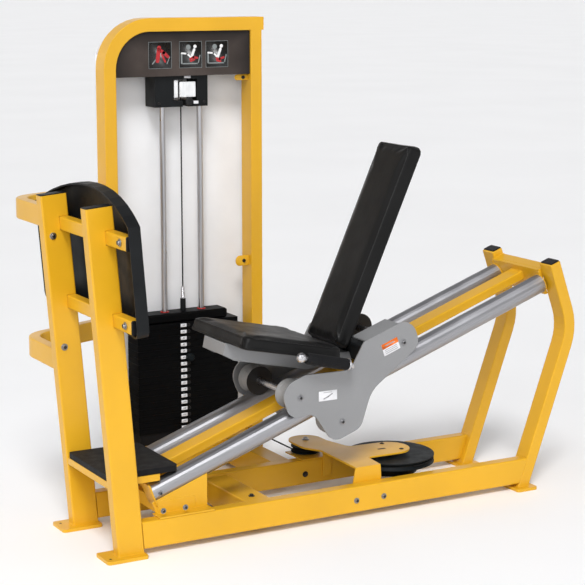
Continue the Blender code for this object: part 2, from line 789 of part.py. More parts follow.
def plate_block(name, bottom, count, material):
    """Weight plates one above the other, with a narrow groove between neighbours."""
    half_x = STACK_SIZE[0] / 2
    half_y = STACK_SIZE[1] / 2
    groove = 0.0012
    block = box(name, (STACK_X - half_x, STACK_Y - half_y, bottom + GAP),
                (STACK_X + half_x, STACK_Y + half_y, bottom + PLATE_PITCH - groove), press, material)
    row = block.modifiers.new("plates", "ARRAY")
    row.count = count
    row.use_relative_offset = False
    row.use_constant_offset = True
    row.constant_offset_displace = (0, 0, PLATE_PITCH)
    top = bottom + count * PLATE_PITCH - groove - 0.002
    core = box(f"{name}_core", (STACK_X - half_x + 0.004, STACK_Y - half_y + 0.004, bottom + 0.002),
               (STACK_X + half_x - 0.004, STACK_Y + half_y - 0.004, top), press, None)
    join(block, core)
    cut(block, *rod_bores(name, bottom - 0.1, bottom + 0.6))
    return block


def stack():
    resting = PLATE_COUNT - LIFTED_COUNT
    lifted_bottom = STACK_BOTTOM + resting * PLATE_PITCH
    plate_block("resting_plates", STACK_BOTTOM, resting, iron)
    lifted = plate_block("lifted_plates", lifted_bottom, LIFTED_COUNT, iron)
    pin_z = lifted_bottom + PLATE_PITCH / 2
    front = STACK_Y - STACK_SIZE[1] / 2
    bore = rod("pin_bore", (STACK_X, front - 0.1, pin_z), (STACK_X, front + 0.07, pin_z), PIN_RADIUS + 0.001, press,
               None, 12)
    cut(lifted, bore)
    head_low = STACK_BOTTOM + PLATE_COUNT * PLATE_PITCH
    half_x = HEAD_SIZE[0] / 2
    half_y = HEAD_SIZE[1] / 2
    head = box("stack_head", (STACK_X - half_x, STACK_Y - half_y, head_low),
               (STACK_X + half_x, STACK_Y + half_y, HEAD_TOP), press, iron)
    soften(head, 0.006, 1)
    cut(head, *rod_bores("head", 0.5, 0.8))
    fitting = [(0.0115, 0.050), (0.0115, 0), (0, 0), (0, 0.080), (0.006, 0.080), (0.006, 0.050)]
    place = Matrix.Translation((STACK_X, STACK_Y, HEAD_TOP + GAP))
    turned("cable_fitting", fitting, place, press, steel, 16)
    selector_pin(front, pin_z)
    half_x = STACK_SIZE[0] / 2 - BUMPER_INSET
    half_y = STACK_SIZE[1] / 2 - BUMPER_INSET
    bumper = box("stack_bumper", (STACK_X - half_x, STACK_Y - half_y, BASE_TUBE_TOP + GAP),
                 (STACK_X + half_x, STACK_Y + half_y, STACK_BOTTOM), press, rubber)
    cut(bumper, *rod_bores("bumper", BUMPER_BORES_LOW, STACK_BOTTOM + BUMPER_INSET))


def selector_pin(front, pin_z):
    """The pin points into the stack along +Y and is pulled out along -Y."""
    knob = 0.016
    profile = [
        (knob, 0.004), (knob, 0.024), (knob - 0.004, 0.030), (0, 0.030), (0, -0.065), (PIN_RADIUS, -0.065),
        (PIN_RADIUS, 0.002), (PIN_RADIUS + 0.003, 0.004),
    ]
    place = axes((STACK_X, front, pin_z), X_AXIS, Z_AXIS)
    turned("selector_pin", profile[::-1], place, press, steel, 16)


# ---------------------------------------------------------------- cable and pulleys

def stack_cable():
    rod("stack_cable", (STACK_X, STACK_Y, HEAD_TOP + 0.0805 + GAP), (STACK_X, STACK_Y, TOP_PULLEY_Z), CABLE_RADIUS,
        press, rubber, 8)


def transfer_route():
    """The cable from the tower round the corner pulley and on to the far side of the main pulley."""
    near = Vector(CORNER_PULLEY)
    far = Vector(MAIN_PULLEY)
    near_radius = CORNER_PULLEY_RADIUS - GROOVE_DEPTH + CABLE_RADIUS + 0.0015
    far_radius = MAIN_PULLEY_RADIUS - GROOVE_DEPTH + CABLE_RADIUS + 0.0015
    line = far - near
    heading = math.atan2(line.y, line.x)
    swing = math.acos((near_radius + far_radius) / line.length)
    leave = heading - swing
    route = [Vector((near.x - near_radius, y)) for y in (TOWER_FRONT - 0.004, 0.45)]
    for k in range(9):
        angle = math.pi + (leave % math.tau - math.pi) * k / 8
        route.append(near + near_radius * Vector((math.cos(angle), math.sin(angle))))
    arrive = leave + math.pi
    for k in range(17):
        angle = arrive - math.radians(170) * k / 16
        route.append(far + far_radius * Vector((math.cos(angle), math.sin(angle))))
    return [(point.x, point.y, CABLE_Z) for point in route]


def floor_pulleys():
    wire("transfer_cable", transfer_route(), CABLE_RADIUS, press, rubber)
    drum_top = -MAIN_PULLEY_WIDTH / 2
    drum = [(PULLEY_DRUM_RADIUS, drum_top), (PULLEY_DRUM_RADIUS, drum_top - PULLEY_DRUM_DEPTH)]
    for name, place, radius, bore, width, below in (
        ("corner_pulley", CORNER_PULLEY, CORNER_PULLEY_RADIUS, 0.0105, 0.026, []),
        ("main_pulley", MAIN_PULLEY, MAIN_PULLEY_RADIUS, 0.0135, MAIN_PULLEY_WIDTH, drum),
    ):
        matrix = Matrix.Translation((*place, CABLE_Z))
        turned(name, grooved_profile(radius, width, bore, below), matrix, press, black, 64)


def pulley_bracket():
    """A plate over the two floor pulleys, on a web at each rail, with their shafts."""
    lobe_x, lobe_y = CORNER_PULLEY
    hub_x, hub_y = MAIN_PULLEY
    top = 0.185
    reach = BASE_INNER - GAP
    corners = [
        (lobe_x - 0.069, lobe_y + 0.069, 0.068),
        (lobe_x - 0.069, lobe_y - 0.10, 0.03),
        (0.935, 0.10, 0.03),
        (0.925, -reach, 0),
        (1.035, -reach, 0),
        (1.045, hub_y - 0.075, 0.02),
        (hub_x + 0.080, hub_y - 0.080, 0.079),
        (hub_x + 0.080, hub_y + 0.080, 0.079),
        (1.060, hub_y + 0.095, 0.03),
        (lobe_x + 0.069, lobe_y - 0.05, 0.03),
        (lobe_x + 0.069, lobe_y + 0.069, 0.068),
    ]
    bracket = as_mesh(
        extrusion("pulley_bracket", [rounded(corners)], 0.007, plan_view(top - 0.0035), press, None)
    )
    bracket.data.materials.append(yellow)
    low_web = [
        (0.900, 0.050, 0.01), (1.045, 0.050, 0.01), (1.036, top - 0.001, 0), (0.924, top - 0.001, 0),
    ]
    join(bracket, as_mesh(
        extrusion("near_web", [rounded(low_web)], PLATE, side_view(-reach + PLATE / 2), press, None)
    ))
    join(bracket, box("far_web", (0.990, reach - PLATE, 0.050), (1.0298, reach, top - 0.001), press, None))
    shelf = box("pulley_shelf", (0.893, reach - PLATE, BASE_TUBE_TOP + GAP), (1.0298, 0.320, BASE_TUBE_TOP + 0.005),
                press, None)
    join(bracket, shelf)
    for name, (x, y), radius, low in (
        ("corner_shaft", CORNER_PULLEY, 0.009, BASE_TUBE_TOP + 0.002),
        ("main_shaft", MAIN_PULLEY, 0.012, 0.128),
    ):
        join(bracket, rod(name, (x, y, low), (x, y, top - 0.002), radius, press, None, 16))


# ---------------------------------------------------------------- carriage

def carriage_outline():
    """The side plate in (s, n): a lobe at each of its three axles."""
    return rounded([
        (0.593, 0.014, 0.055),
        (0.593, 0.152, 0.064),
        (0.708, 0.152, 0.012),
        (0.893, 0.083, 0.050),
        (0.985, 0.160, 0.015),
        (1.210, 0.160, 0.064),
        (1.210, 0.040, 0.050),
        (0.950, -0.035, 0.120),
        (0.860, -0.150, 0.055),
        (0.728, -0.150, 0.055),
        (0.690, 0.000, 0.050),
    ])


def carriage_plates():
    for side, sign in SIDES:
        matrix = side_view(sign * CARRIAGE_Y)
        plate = as_mesh(
            extrusion(f"carriage_plate_{side}", [carriage_outline()], CARRIAGE_PLATE, matrix, incline, None)
        )
        plate.data.materials.append(grey)
        low_y, high_y = sorted((sign * (CARRIAGE_Y - HOOD_DEPTH), sign * CARRIAGE_Y))
        join(plate, box(f"hood_{side}", (0.992, low_y, 0.1535), (1.150, high_y, 0.1595), incline, None))
        shade(plate)


def axles():
    reach = CARRIAGE_Y - CARRIAGE_PLATE / 2 - GAP
    for name, (s, n) in (("front", AXLE_FRONT), ("rear", AXLE_REAR), ("bottom", AXLE_BOTTOM)):
        rod(f"{name}_axle", (s, -reach, n), (s, reach, n), AXLE_RADIUS, incline, steel, 16)


def roller_profile(distance):
    """The section of a roller whose tread fits the guide tube at the given distance from its axle."""
    bore = AXLE_RADIUS + 0.001
    half = ROLLER_HALF_WIDTH
    hollow = GUIDE_RADIUS + ROLLER_CLEARANCE
    rim_y = math.sqrt(hollow ** 2 - (distance - ROLLER_RIM) ** 2)
    reach = math.asin(min(rim_y, half - 0.002) / hollow)
    steps = 6
    tread = []
    for k in range(steps + 1):
        angle = reach * (1 - 2 * k / steps)
        tread.append((distance - hollow * math.cos(angle), hollow * math.sin(angle)))
    rim = tread[0][0]
    return [(rim, half)] + tread + [(rim, -half), (bore, -half), (bore, half)]


def rollers():
    for name, (s, n) in (("front", AXLE_FRONT), ("rear", AXLE_REAR), ("bottom", AXLE_BOTTOM)):
        profile = roller_profile(abs(n))
        for side, sign in SIDES:
            matrix = axes((s, sign * GUIDE_Y, n), X_AXIS, Z_AXIS)
            turned(f"{name}_roller_{side}", profile, matrix, incline, rubber, 24)


def back_frame():
    """The crossmember between the side plates and the bar that rises from it behind the back pad."""
    reach = CARRIAGE_Y - CARRIAGE_PLATE / 2 - GAP
    member = as_mesh(
        tube("back_frame", (MEMBER_S, -reach, 0.105), (MEMBER_S, reach, 0.105), MEMBER_WIDTH, 0.080, incline, None)
    )
    member.data.materials.append(black)
    low = (BACK_THICKNESS + GAP, -0.0254, 0.02)
    bar = box("back_bar", low, (BACK_THICKNESS + 0.0257, 0.0254, 0.62), back_frame_axis, None)
    join(member, bar)
    shade(member)


def seat_frame():
    top = (SEAT_THICKNESS + 0.0005)
    down = Vector((-math.sin(SEAT_TILT), -math.cos(SEAT_TILT)))
    along = Vector((math.cos(SEAT_TILT), -math.sin(SEAT_TILT)))
    front = Vector(SEAT_FRONT) + down * top + along * 0.005
    rear = front + along * (SEAT_LENGTH - 0.01)
    member_top = incline_point(MEMBER_S - MEMBER_WIDTH / 2 - 2 * GAP, 0, 0.098)
    member_low = incline_point(MEMBER_S - MEMBER_WIDTH / 2 - 2 * GAP, 0, 0.066)
    outline = [
        tuple(front), tuple(rear), (member_top.x, member_top.z), (member_low.x, member_low.z),
        (0.760, 0.572), (0.450, 0.640), tuple(front + down * 0.045),
    ]
    channel = as_mesh(extrusion("seat_frame", [outline], 0.17, side_view(0), press, None))
    channel.data.materials.append(grey)
    inside = [(x + 0.005, z - 0.005) for x, z in outline]
    cut(channel, as_mesh(extrusion("seat_frame_hollow", [inside], 0.16, side_view(0), press, None)))
    x, z = HANDLE_CROSS
    cut(channel, rod("handle_bore", (x, -0.2, z), (x, 0.2, z), HANDLE_RADIUS + 0.001, press, None, 16))


def pads():
    seat_axis = make_empty("seat_axis", (SEAT_FRONT[0], 0, SEAT_FRONT[1]), -SEAT_TILT, press)
    half = SEAT_WIDTH / 2
    seat = box("seat_pad", (0, -half, -SEAT_THICKNESS), (SEAT_LENGTH, half, 0), seat_axis, black)
    soften(seat, 0.015)
    shade(seat)
    half = BACK_WIDTH / 2
    back = box("back_pad", (0, -half, 0), (BACK_THICKNESS, half, BACK_LENGTH), back_frame_axis, black)
    soften(back, 0.012)
    shade(back)


def handles():
    """One bar under the seat, turned forwards on each side into a grip with a round end."""
    front = Vector((GRIP_FRONT[0], 0, GRIP_FRONT[1]))
    rear = Vector((GRIP_REAR[0], 0, GRIP_REAR[1]))
    along = (front - rear).normalized()
    x, z = HANDLE_CROSS
    corner = Vector((x, 0, z))
    half = [corner + 0.20 * Y_AXIS]
    for k in range(1, 5):
        angle = math.radians(90) * k / 4
        half.append(corner + (0.20 + (GRIP_Y - 0.20) * math.sin(angle)) * Y_AXIS
                    + (rear - corner) * (1 - math.cos(angle)))
    half.append(front + GRIP_Y * Y_AXIS + along * 0.008)
    mirrored = [Vector((p.x, -p.y, p.z)) for p in reversed(half)]
    bar = as_mesh(wire("handle_bar", mirrored + half, HANDLE_RADIUS, press, None))
    bar.data.materials.append(steel)
    for side, sign in SIDES:
        end = front + sign * GRIP_Y * Y_AXIS + along * 0.014
        mesh = bpy.data.meshes.new(f"handle_ball_{side}")
        maker = bmesh.new()
        bmesh.ops.create_uvsphere(maker, u_segments=12, v_segments=8, radius=0.019)
        maker.to_mesh(mesh)
        maker.free()
        join(bar, settle(bpy.data.objects.new(mesh.name, mesh), Matrix.Translation(end), press, None))
    shade(bar)
    start = rear + 0.016 * along
    length = (front - start).length - 0.010
    bore = HANDLE_RADIUS + 0.001
    profile = [(GRIP_RADIUS - 0.003, length), (GRIP_RADIUS, length - 0.006), (GRIP_RADIUS, 0.006),
               (GRIP_RADIUS - 0.003, 0), (bore, 0), (bore, length)]
    for side, sign in SIDES:
        matrix = axes(start + sign * GRIP_Y * Y_AXIS, Y_AXIS, Y_AXIS.cross(along) * -1)
        turned(f"grip_{side}", profile, matrix, press, rubber, 16)


clear_scene()
parts = make_collection("leg_press")
cutters = make_collection("cutters")
yellow = make_material("yellow_paint", (0.95, 0.53, 0.03), 0.35, 0.0)
grey = make_material("grey_paint", (0.36, 0.37, 0.38), 0.40, 0.3)
black = make_material("black", (0.012, 0.012, 0.014), 0.55, 0.0)
iron = make_material("black_iron", (0.008, 0.008, 0.010), 0.50, 0.3)
rubber = make_material("rubber", (0.015, 0.015, 0.017), 0.75, 0.0)
chrome = make_material("chrome", (0.75, 0.76, 0.78), 0.15, 1.0)
steel = make_material("bright_steel", (0.62, 0.63, 0.65), 0.25, 1.0)
light_grey = make_material("light_grey", (0.80, 0.81, 0.83), 0.45, 0.0)

press = make_empty("press_frame", (PRESS_X, PRESS_Y, 0))
lean = make_empty("post_frame", (LEAN_X, 0, 0), LEAN, press)
incline = make_empty("incline_frame", INCLINE_FOOT, INCLINE, press)
back_frame_axis = make_empty("back_axis", (BACK_FOOT[0], 0, BACK_FOOT[1]), -BACK_LEAN, press)

base_rails()
front_feet()
rear_feet()
front_posts()
crossbars()
footplate()
step()
rear_posts()
rear_crossbar()
guide_tubes()
centre_beam()
front_bracket()
middle_crossmember()
stays()
tower_arch()
tower_base()
placard()
shroud()
pulley_housing()
top_pulley()
guide_rods()
stack()
stack_cable()
floor_pulleys()
pulley_bracket()
carriage_plates()
axles()
rollers()
back_frame()
seat_frame()
pads()
handles()
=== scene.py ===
"""Leg press machine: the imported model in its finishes, with pads, caps, screws, welds and labels."""
import json
from math import atan2, cos, pi, radians, sin

import bmesh
import bpy
import numpy as np
from mathutils import Matrix, Vector, noise
from mathutils.bvhtree import BVHTree


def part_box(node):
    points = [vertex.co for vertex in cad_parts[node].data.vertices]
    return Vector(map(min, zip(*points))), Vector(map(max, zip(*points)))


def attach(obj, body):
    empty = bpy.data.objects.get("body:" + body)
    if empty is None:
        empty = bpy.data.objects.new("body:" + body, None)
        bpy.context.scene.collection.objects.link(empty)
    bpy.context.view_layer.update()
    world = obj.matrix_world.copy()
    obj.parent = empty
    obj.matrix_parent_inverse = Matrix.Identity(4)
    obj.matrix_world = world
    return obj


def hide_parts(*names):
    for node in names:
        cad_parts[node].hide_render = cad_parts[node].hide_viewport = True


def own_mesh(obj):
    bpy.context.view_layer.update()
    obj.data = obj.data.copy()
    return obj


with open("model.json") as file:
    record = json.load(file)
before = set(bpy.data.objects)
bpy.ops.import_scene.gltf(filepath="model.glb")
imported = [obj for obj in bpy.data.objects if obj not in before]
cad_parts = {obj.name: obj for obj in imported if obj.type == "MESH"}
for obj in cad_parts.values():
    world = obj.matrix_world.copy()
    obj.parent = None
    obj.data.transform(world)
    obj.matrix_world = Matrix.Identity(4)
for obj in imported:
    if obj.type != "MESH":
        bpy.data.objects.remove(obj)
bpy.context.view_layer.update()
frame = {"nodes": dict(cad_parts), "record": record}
NODES = frame["nodes"]
SLOT_OF = {part["node"]: part["material_slot"] for part in frame["record"]["subparts"]}

X = Vector((1, 0, 0))
Y = Vector((0, 1, 0))
Z = Vector((0, 0, 1))

INCLINE = radians(19.68)
POST_LEAN = radians(4.5)
SEAT_TILT = radians(11.8)
BACK_LEAN = radians(24)
ALONG_TUBES = Vector((cos(INCLINE), 0, sin(INCLINE)))
ACROSS_TUBES = Vector((-sin(INCLINE), 0, cos(INCLINE)))
POST_UP = Vector((-sin(POST_LEAN), 0, cos(POST_LEAN)))


# --- camera, light and floor

CAMERA_PLACE = (-3.3134, -5.8537, 2.048)
CAMERA_TURN = 0.5131
CAMERA_PITCH = 0.1811
LENS = 106.51
CAMERA_REACH = 2000
WORLD_STOPS = ((0.05, (1.0, 1.0, 1.0, 1)), (0.75, (0.15, 0.15, 0.16, 1)))
WORLD_STRENGTH = 1.08
SUNS = (
    ("key_light", (-0.38, -0.72, 0.95), 2.25, 20),
    ("fill_light", (-0.85, 0.2, 0.8), 0.35, 60),
)
SOFTBOX_PLACE = (-3.6, -4.0, 2.9)
SOFTBOX_TARGET = (-0.4, -0.1, 0.8)
SOFTBOX_SIZE = 2.4
SOFTBOX_POWER = 85.0
FLOOR_HALF = 600.0


def linked(name, data):
    """A new object in the scene."""
    obj = bpy.data.objects.new(name, data)
    bpy.context.scene.collection.objects.link(obj)
    return obj


def make_camera():
    data = bpy.data.cameras.new("camera")
    data.lens = LENS
    data.clip_end = CAMERA_REACH
    camera = linked("camera", data)
    camera.location = CAMERA_PLACE
    camera.rotation_euler = (pi / 2 - CAMERA_PITCH, 0, -CAMERA_TURN)
    bpy.context.scene.camera = camera


def make_world():
    world = bpy.data.worlds.new("studio")
    world.use_nodes = True
    tree = world.node_tree
    direction = tree.nodes.new("ShaderNodeTexCoord")
    split = tree.nodes.new("ShaderNodeSeparateXYZ")
    ramp = tree.nodes.new("ShaderNodeValToRGB")
    for element, (position, colour) in zip(ramp.color_ramp.elements, WORLD_STOPS):
        element.color = colour
        element.position = position
    tree.links.new(direction.outputs["Generated"], split.inputs[0])
    tree.links.new(split.outputs["Z"], ramp.inputs["Fac"])
    background = tree.nodes["Background"]
    tree.links.new(ramp.outputs["Color"], background.inputs["Color"])
    background.inputs["Strength"].default_value = WORLD_STRENGTH
    bpy.context.scene.world = world


def make_suns():
    for name, towards, strength, spread in SUNS:
        data = bpy.data.lights.new(name, "SUN")
        data.energy = strength
        data.angle = radians(spread)
        sun = linked(name, data)
        sun.rotation_euler = Vector(towards).to_track_quat("Z", "Y").to_euler()


def make_softbox():
    data = bpy.data.lights.new("softbox", "AREA")
    data.shape = "SQUARE"
    data.size = SOFTBOX_SIZE
    data.energy = SOFTBOX_POWER
    lamp = linked("softbox", data)
    lamp.location = SOFTBOX_PLACE
    towards = Vector(SOFTBOX_TARGET) - Vector(SOFTBOX_PLACE)
    lamp.rotation_euler = towards.to_track_quat("-Z", "Y").to_euler()


# --- finishes

class Finish:
    """A material being made, with short calls for its nodes."""

    def __init__(self, name):
        self.name = name
        self.material = bpy.data.materials.new(name)
        self.material.use_nodes = True
        self.tree = self.material.node_tree
        self.shader = self.tree.nodes["Principled BSDF"]
        self.place = self.add("ShaderNodeTexCoord").outputs["Object"]

    def add(self, kind, inputs=None, **settings):
        node = self.tree.nodes.new(kind)
        for key, value in settings.items():
            setattr(node, key, value)
        for key, value in (inputs or {}).items():
            self.feed(node.inputs[key], value)
        return node

    def feed(self, socket, value):
        if isinstance(value, bpy.types.NodeSocket):
            self.tree.links.new(value, socket)
        else:
            socket.default_value = value

    def set(self, **inputs):
        for key, value in inputs.items():
            self.feed(self.shader.inputs[key.replace("_", " ")], value)

    def colour(self):
        """Where the base colour comes from so far."""
        return self.shader.inputs["Base Color"].links[0].from_socket

    def stretched(self, scale, turn):
        turned = self.add("ShaderNodeMapping", {"Vector": self.place, "Rotation": turn}).outputs["Vector"]
        return self.add("ShaderNodeMapping", {"Vector": turned, "Scale": scale}).outputs["Vector"]

    def noise(self, scale, detail=2.0, place=None):
        inputs = {"Vector": place or self.place, "Scale": scale, "Detail": detail}
        return self.add("ShaderNodeTexNoise", inputs).outputs["Fac"]

    def cells(self, scale, feature="F1"):
        node = self.add("ShaderNodeTexVoronoi", {"Vector": self.place, "Scale": scale}, feature=feature)
        return node.outputs["Distance"]

    def span(self, value, low, high, to_low, to_high):
        inputs = {"Value": value, "From Min": low, "From Max": high, "To Min": to_low, "To Max": to_high}
        return self.add("ShaderNodeMapRange", inputs).outputs["Result"]

    def sum(self, operation, first, second):
        node = self.add("ShaderNodeMath", operation=operation)
        self.feed(node.inputs[0], first)
        self.feed(node.inputs[1], second)
        return node.outputs[0]

    def mix(self, share, first, second):
        node = self.add("ShaderNodeMix", data_type="RGBA")
        self.feed(node.inputs[0], share)
        self.feed(node.inputs[6], first)
        self.feed(node.inputs[7], second)
        return node.outputs[2]

    def edges(self, width):
        """The rounded normal near an edge, and how near it the point is, from 0 to 1."""
        rounded = self.add("ShaderNodeBevel", {"Radius": width}, samples=4).outputs["Normal"]
        true = self.add("ShaderNodeNewGeometry").outputs["Normal"]
        node = self.add("ShaderNodeVectorMath", operation="DOT_PRODUCT")
        self.feed(node.inputs[0], rounded)
        self.feed(node.inputs[1], true)
        return rounded, self.span(node.outputs["Value"], 0.97, 0.75, 0, 1.0)

    def relief(self, height, depth, normal=None):
        node = self.add("ShaderNodeBump", {"Height": height, "Strength": 1.0, "Distance": depth})
        if normal is not None:
            self.feed(node.inputs["Normal"], normal)
        return node.outputs["Normal"]


def rgb(colour, scale=1.0):
    return (*(min(1.0, c * scale) for c in colour), 1)


def coated(name, colour, rough, grain, depth, metallic=0.0, coat=0.0, worn=None, worn_share=0.0, edge=0.0015,
           cloud=5.0, change=0.1, sheen=0.0, gloss=0.5):
    """A sprayed, moulded or cast surface: slow colour change, fine grain, and edges that catch the light."""
    look = Finish(name)
    patches = look.span(look.noise(cloud, 4.0), 0.35, 0.65, 0, 1.0)
    base = look.mix(patches, rgb(colour, 1 - change), rgb(colour, 1 + change / 2))
    rounded, near_edge = look.edges(edge)
    if worn:
        scuffs = look.span(look.noise(70.0, 5.0), 0.42, 0.6, 0, worn_share)
        base = look.mix(look.sum("MULTIPLY", near_edge, scuffs), base, rgb(worn))
    fine = look.noise(grain, 3.0)
    smudges = look.span(look.noise(cloud * 3, 5.0), 0.3, 0.7, rough[0], rough[1])
    look.set(Base_Color=base, Roughness=smudges, Metallic=metallic, Coat_Weight=coat, Coat_Roughness=0.18,
             Sheen_Weight=sheen, Specular_IOR_Level=gloss, Normal=look.relief(fine, depth, rounded))
    return look


def flaked_paint(name, colour):
    """Silver paint: metal flakes under a satin lacquer."""
    look = coated(name, colour, (0.36, 0.48), 500.0, 0.00008, metallic=0.35, coat=0.15,
                  worn=(0.75, 0.75, 0.76), worn_share=0.5, cloud=3.0, change=0.06)
    flakes = look.span(look.cells(1400.0), 0, 0.9, 0.92, 1.1)
    tint = look.add("ShaderNodeHueSaturation", {"Value": flakes})
    look.feed(tint.inputs["Color"], look.colour())
    look.set(Base_Color=tint.outputs["Color"])
    return look


def drawn_metal(name, colour, stretch, turn, rough):
    """Bright metal with fine lines along its length."""
    look = Finish(name)
    along = look.stretched(stretch, turn)
    lines = look.noise(1.0, 4.0, along)
    slow = look.noise(9.0, 3.0)
    shade = look.mix(look.span(lines, 0.3, 0.7, 0, 1.0), rgb(colour, 0.93), rgb(colour, 1.04))
    lined = look.span(lines, 0.3, 0.7, rough[0], rough[1])
    smear = look.sum("ADD", lined, look.span(slow, 0.3, 0.7, -0.03, 0.05))
    rounded, _ = look.edges(0.0008)
    look.set(Base_Color=shade, Roughness=smear, Metallic=1.0, Anisotropic=0.4,
             Normal=look.relief(lines, 0.00001, rounded))
    return look


def grained_vinyl(name, colour):
    """Upholstery vinyl: pebbled leather grain with a low gloss."""
    look = Finish(name)
    pebbles = look.cells(430.0, "SMOOTH_F1")
    creases = look.span(look.noise(90.0, 4.0), 0.3, 0.7, 0, 0.8)
    height = look.sum("ADD", look.span(pebbles, 0, 0.8, 1.0, 0), creases)
    patches = look.span(look.noise(7.0, 3.0), 0.35, 0.65, 0, 1.0)
    base = look.mix(patches, rgb(colour, 0.8), rgb(colour, 1.25))
    valleys = look.span(pebbles, 0.25, 0.75, 0, 0.5)
    base = look.mix(valleys, base, rgb(colour, 0.45))
    gloss = look.span(look.noise(14.0, 4.0), 0.3, 0.7, 0.4, 0.54)
    look.set(Base_Color=base, Roughness=gloss, Sheen_Weight=0.01, Specular_IOR_Level=0.2,
             Normal=look.relief(height, 0.00025))
    return look


def tread_and_sides(name, tread, sides):
    """A moulded roller: pale tread, black side discs, told apart by which way the surface faces."""
    look = coated(name, tread, (0.42, 0.58), 350.0, 0.00012, cloud=12.0)
    outward = look.add("ShaderNodeTexCoord").outputs["Normal"]
    split = look.add("ShaderNodeSeparateXYZ", {"Vector": outward})
    side = look.span(look.sum("ABSOLUTE", split.outputs["Y"], 0), 0.9, 0.97, 0, 1.0)
    dark = look.mix(look.noise(60.0), rgb(sides, 0.7), rgb(sides, 1.3))
    look.set(Base_Color=look.mix(side, look.colour(), dark))
    return look


def with_painted_edge_shade(look, node, dark):
    """Darkens a panel from its middle towards its sides and its top: painted shade around a lighter middle.
    """
    low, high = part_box(node)
    middle = (low + high) / 2
    spot = look.add("ShaderNodeSeparateXYZ", {"Vector": look.place})
    off = look.sum("ABSOLUTE", look.sum("SUBTRACT", spot.outputs["X"], middle.x), 0)
    sides = look.span(off, (high.x - low.x) * 0.3, (high.x - low.x) * 0.5, 0, 0.8)
    top = look.span(spot.outputs["Z"], middle.z, high.z, 0, 0.9)
    # painted shade, strongest towards the sides and the top
    share = look.sum("MAXIMUM", sides, top)
    look.set(Base_Color=look.mix(share, look.colour(), rgb(dark)))
    return look


def printed(name, colour, rough, change=0.1):
    """Smooth ink, film or enamel, in one colour."""
    return coated(name, colour, rough, 500.0, 0.00002, cloud=40.0, change=change)


YELLOW = (0.68, 0.365, 0.014)
ALL_WAYS = (300, 300, 300)
ALONG_X = (5, 420, 420)
ALONG_Z = (420, 420, 5)
NO_TURN = (0, 0, 0)
TUBE_TURN = (0, INCLINE, 0)
FILM = (0.3, 0.42)
INK = (0.25, 0.35)
SLOT_FINISHES = (
    coated("yellow_paint", YELLOW, (0.28, 0.4), 260.0, 0.00012, coat=0.1, gloss=0.35,
           worn=(0.96, 0.62, 0.1), worn_share=0.55, edge=0.0025, cloud=2.4, change=0.07),
    flaked_paint("grey_paint", (0.262, 0.264, 0.27)),
    coated("black_paint", (0.009, 0.01, 0.011), (0.4, 0.55), 420.0, 0.00015, gloss=0.14,
           worn=(0.1, 0.1, 0.11), worn_share=0.5, change=0.25),
    # the placard gets painted shade towards its sides and top
    with_painted_edge_shade(coated("placard_plastic", (0.066, 0.052, 0.046), (0.3, 0.42), 300.0, 0.00003, gloss=0.12,
                     cloud=8.0, change=0.25), "placard", (0.008, 0.007, 0.007)),
    coated("light_grey_paint", (0.8, 0.81, 0.83), (0.4, 0.55), 500.0, 0.00008, worn=(0.9, 0.9, 0.9),
           worn_share=0.4, change=0.04),
    coated("light_grey_nylon", (0.72, 0.73, 0.74), (0.3, 0.45), 600.0, 0.00006, cloud=20.0),
    coated("rubber", (0.007, 0.007, 0.008), (0.6, 0.8), 700.0, 0.00035, cloud=10.0, change=0.3, sheen=0.03,
           gloss=0.15),
    tread_and_sides("roller_urethane", (0.24, 0.235, 0.23), (0.008, 0.008, 0.009)),
    grained_vinyl("vinyl", (0.005, 0.0049, 0.005)),
    coated("black_iron", (0.0018, 0.002, 0.0024), (0.4, 0.55), 240.0, 0.0003, gloss=0.08,
           worn=(0.03, 0.03, 0.032), worn_share=0.5, change=0.3),
    drawn_metal("chrome", (0.4, 0.4, 0.42), ALONG_X, TUBE_TURN, (0.36, 0.44)),
    drawn_metal("bright_steel", (0.6, 0.6, 0.62), ALL_WAYS, NO_TURN, (0.2, 0.36)),
    coated("black_nylon", (0.006, 0.0085, 0.01), (0.42, 0.56), 500.0, 0.0001, gloss=0.12,
           worn=(0.07, 0.07, 0.075), worn_share=0.4, cloud=9.0, change=0.3),
)
EXTRA_FINISHES = (
    drawn_metal("rod_chrome", (0.5, 0.5, 0.52), ALONG_Z, NO_TURN, (0.26, 0.34)),
    # black for caps, and for the painted shade in the slot over the main pulley
    coated("cap_plastic_and_shade", (0.007, 0.007, 0.008), (0.4, 0.55), 600.0, 0.0002, cloud=30.0, change=0.3,
           gloss=0.25),
    coated("screw_steel", (0.3, 0.3, 0.31), (0.25, 0.4), 700.0, 0.00005, metallic=1.0, cloud=60.0),
    # dark for black screws, and for the painted shade in the holes over the main pulley
    coated("screw_black_and_shade", (0.012, 0.012, 0.013), (0.28, 0.42), 700.0, 0.00005, metallic=0.4, cloud=60.0),
    coated("bush_red", (0.45, 0.02, 0.015), (0.3, 0.45), 500.0, 0.00005, cloud=40.0),
    coated("thread", (0.045, 0.045, 0.048), (0.55, 0.7), 1500.0, 0.0002, cloud=80.0, sheen=0.3),
    coated("floor_paint", (0.93, 0.93, 0.935), (0.6, 0.75), 60.0, 0.0001, cloud=0.5, change=0.015),
    printed("label_white", (0.66, 0.66, 0.68), FILM, 0.05),
    printed("label_orange", (0.85, 0.17, 0.02), FILM),
    printed("label_grey", (0.3, 0.3, 0.31), FILM),
    # black for print, and for the painted shade inside screw heads
    printed("print_and_shade_black", (0.008, 0.008, 0.008), INK),
    printed("print_red", (0.42, 0.012, 0.018), INK),
    printed("print_white", (0.75, 0.75, 0.75), INK, 0.05),
    printed("print_grey", (0.2, 0.22, 0.22), INK),
)
MATERIALS = {finish.name: finish.material for finish in SLOT_FINISHES + EXTRA_FINISHES}
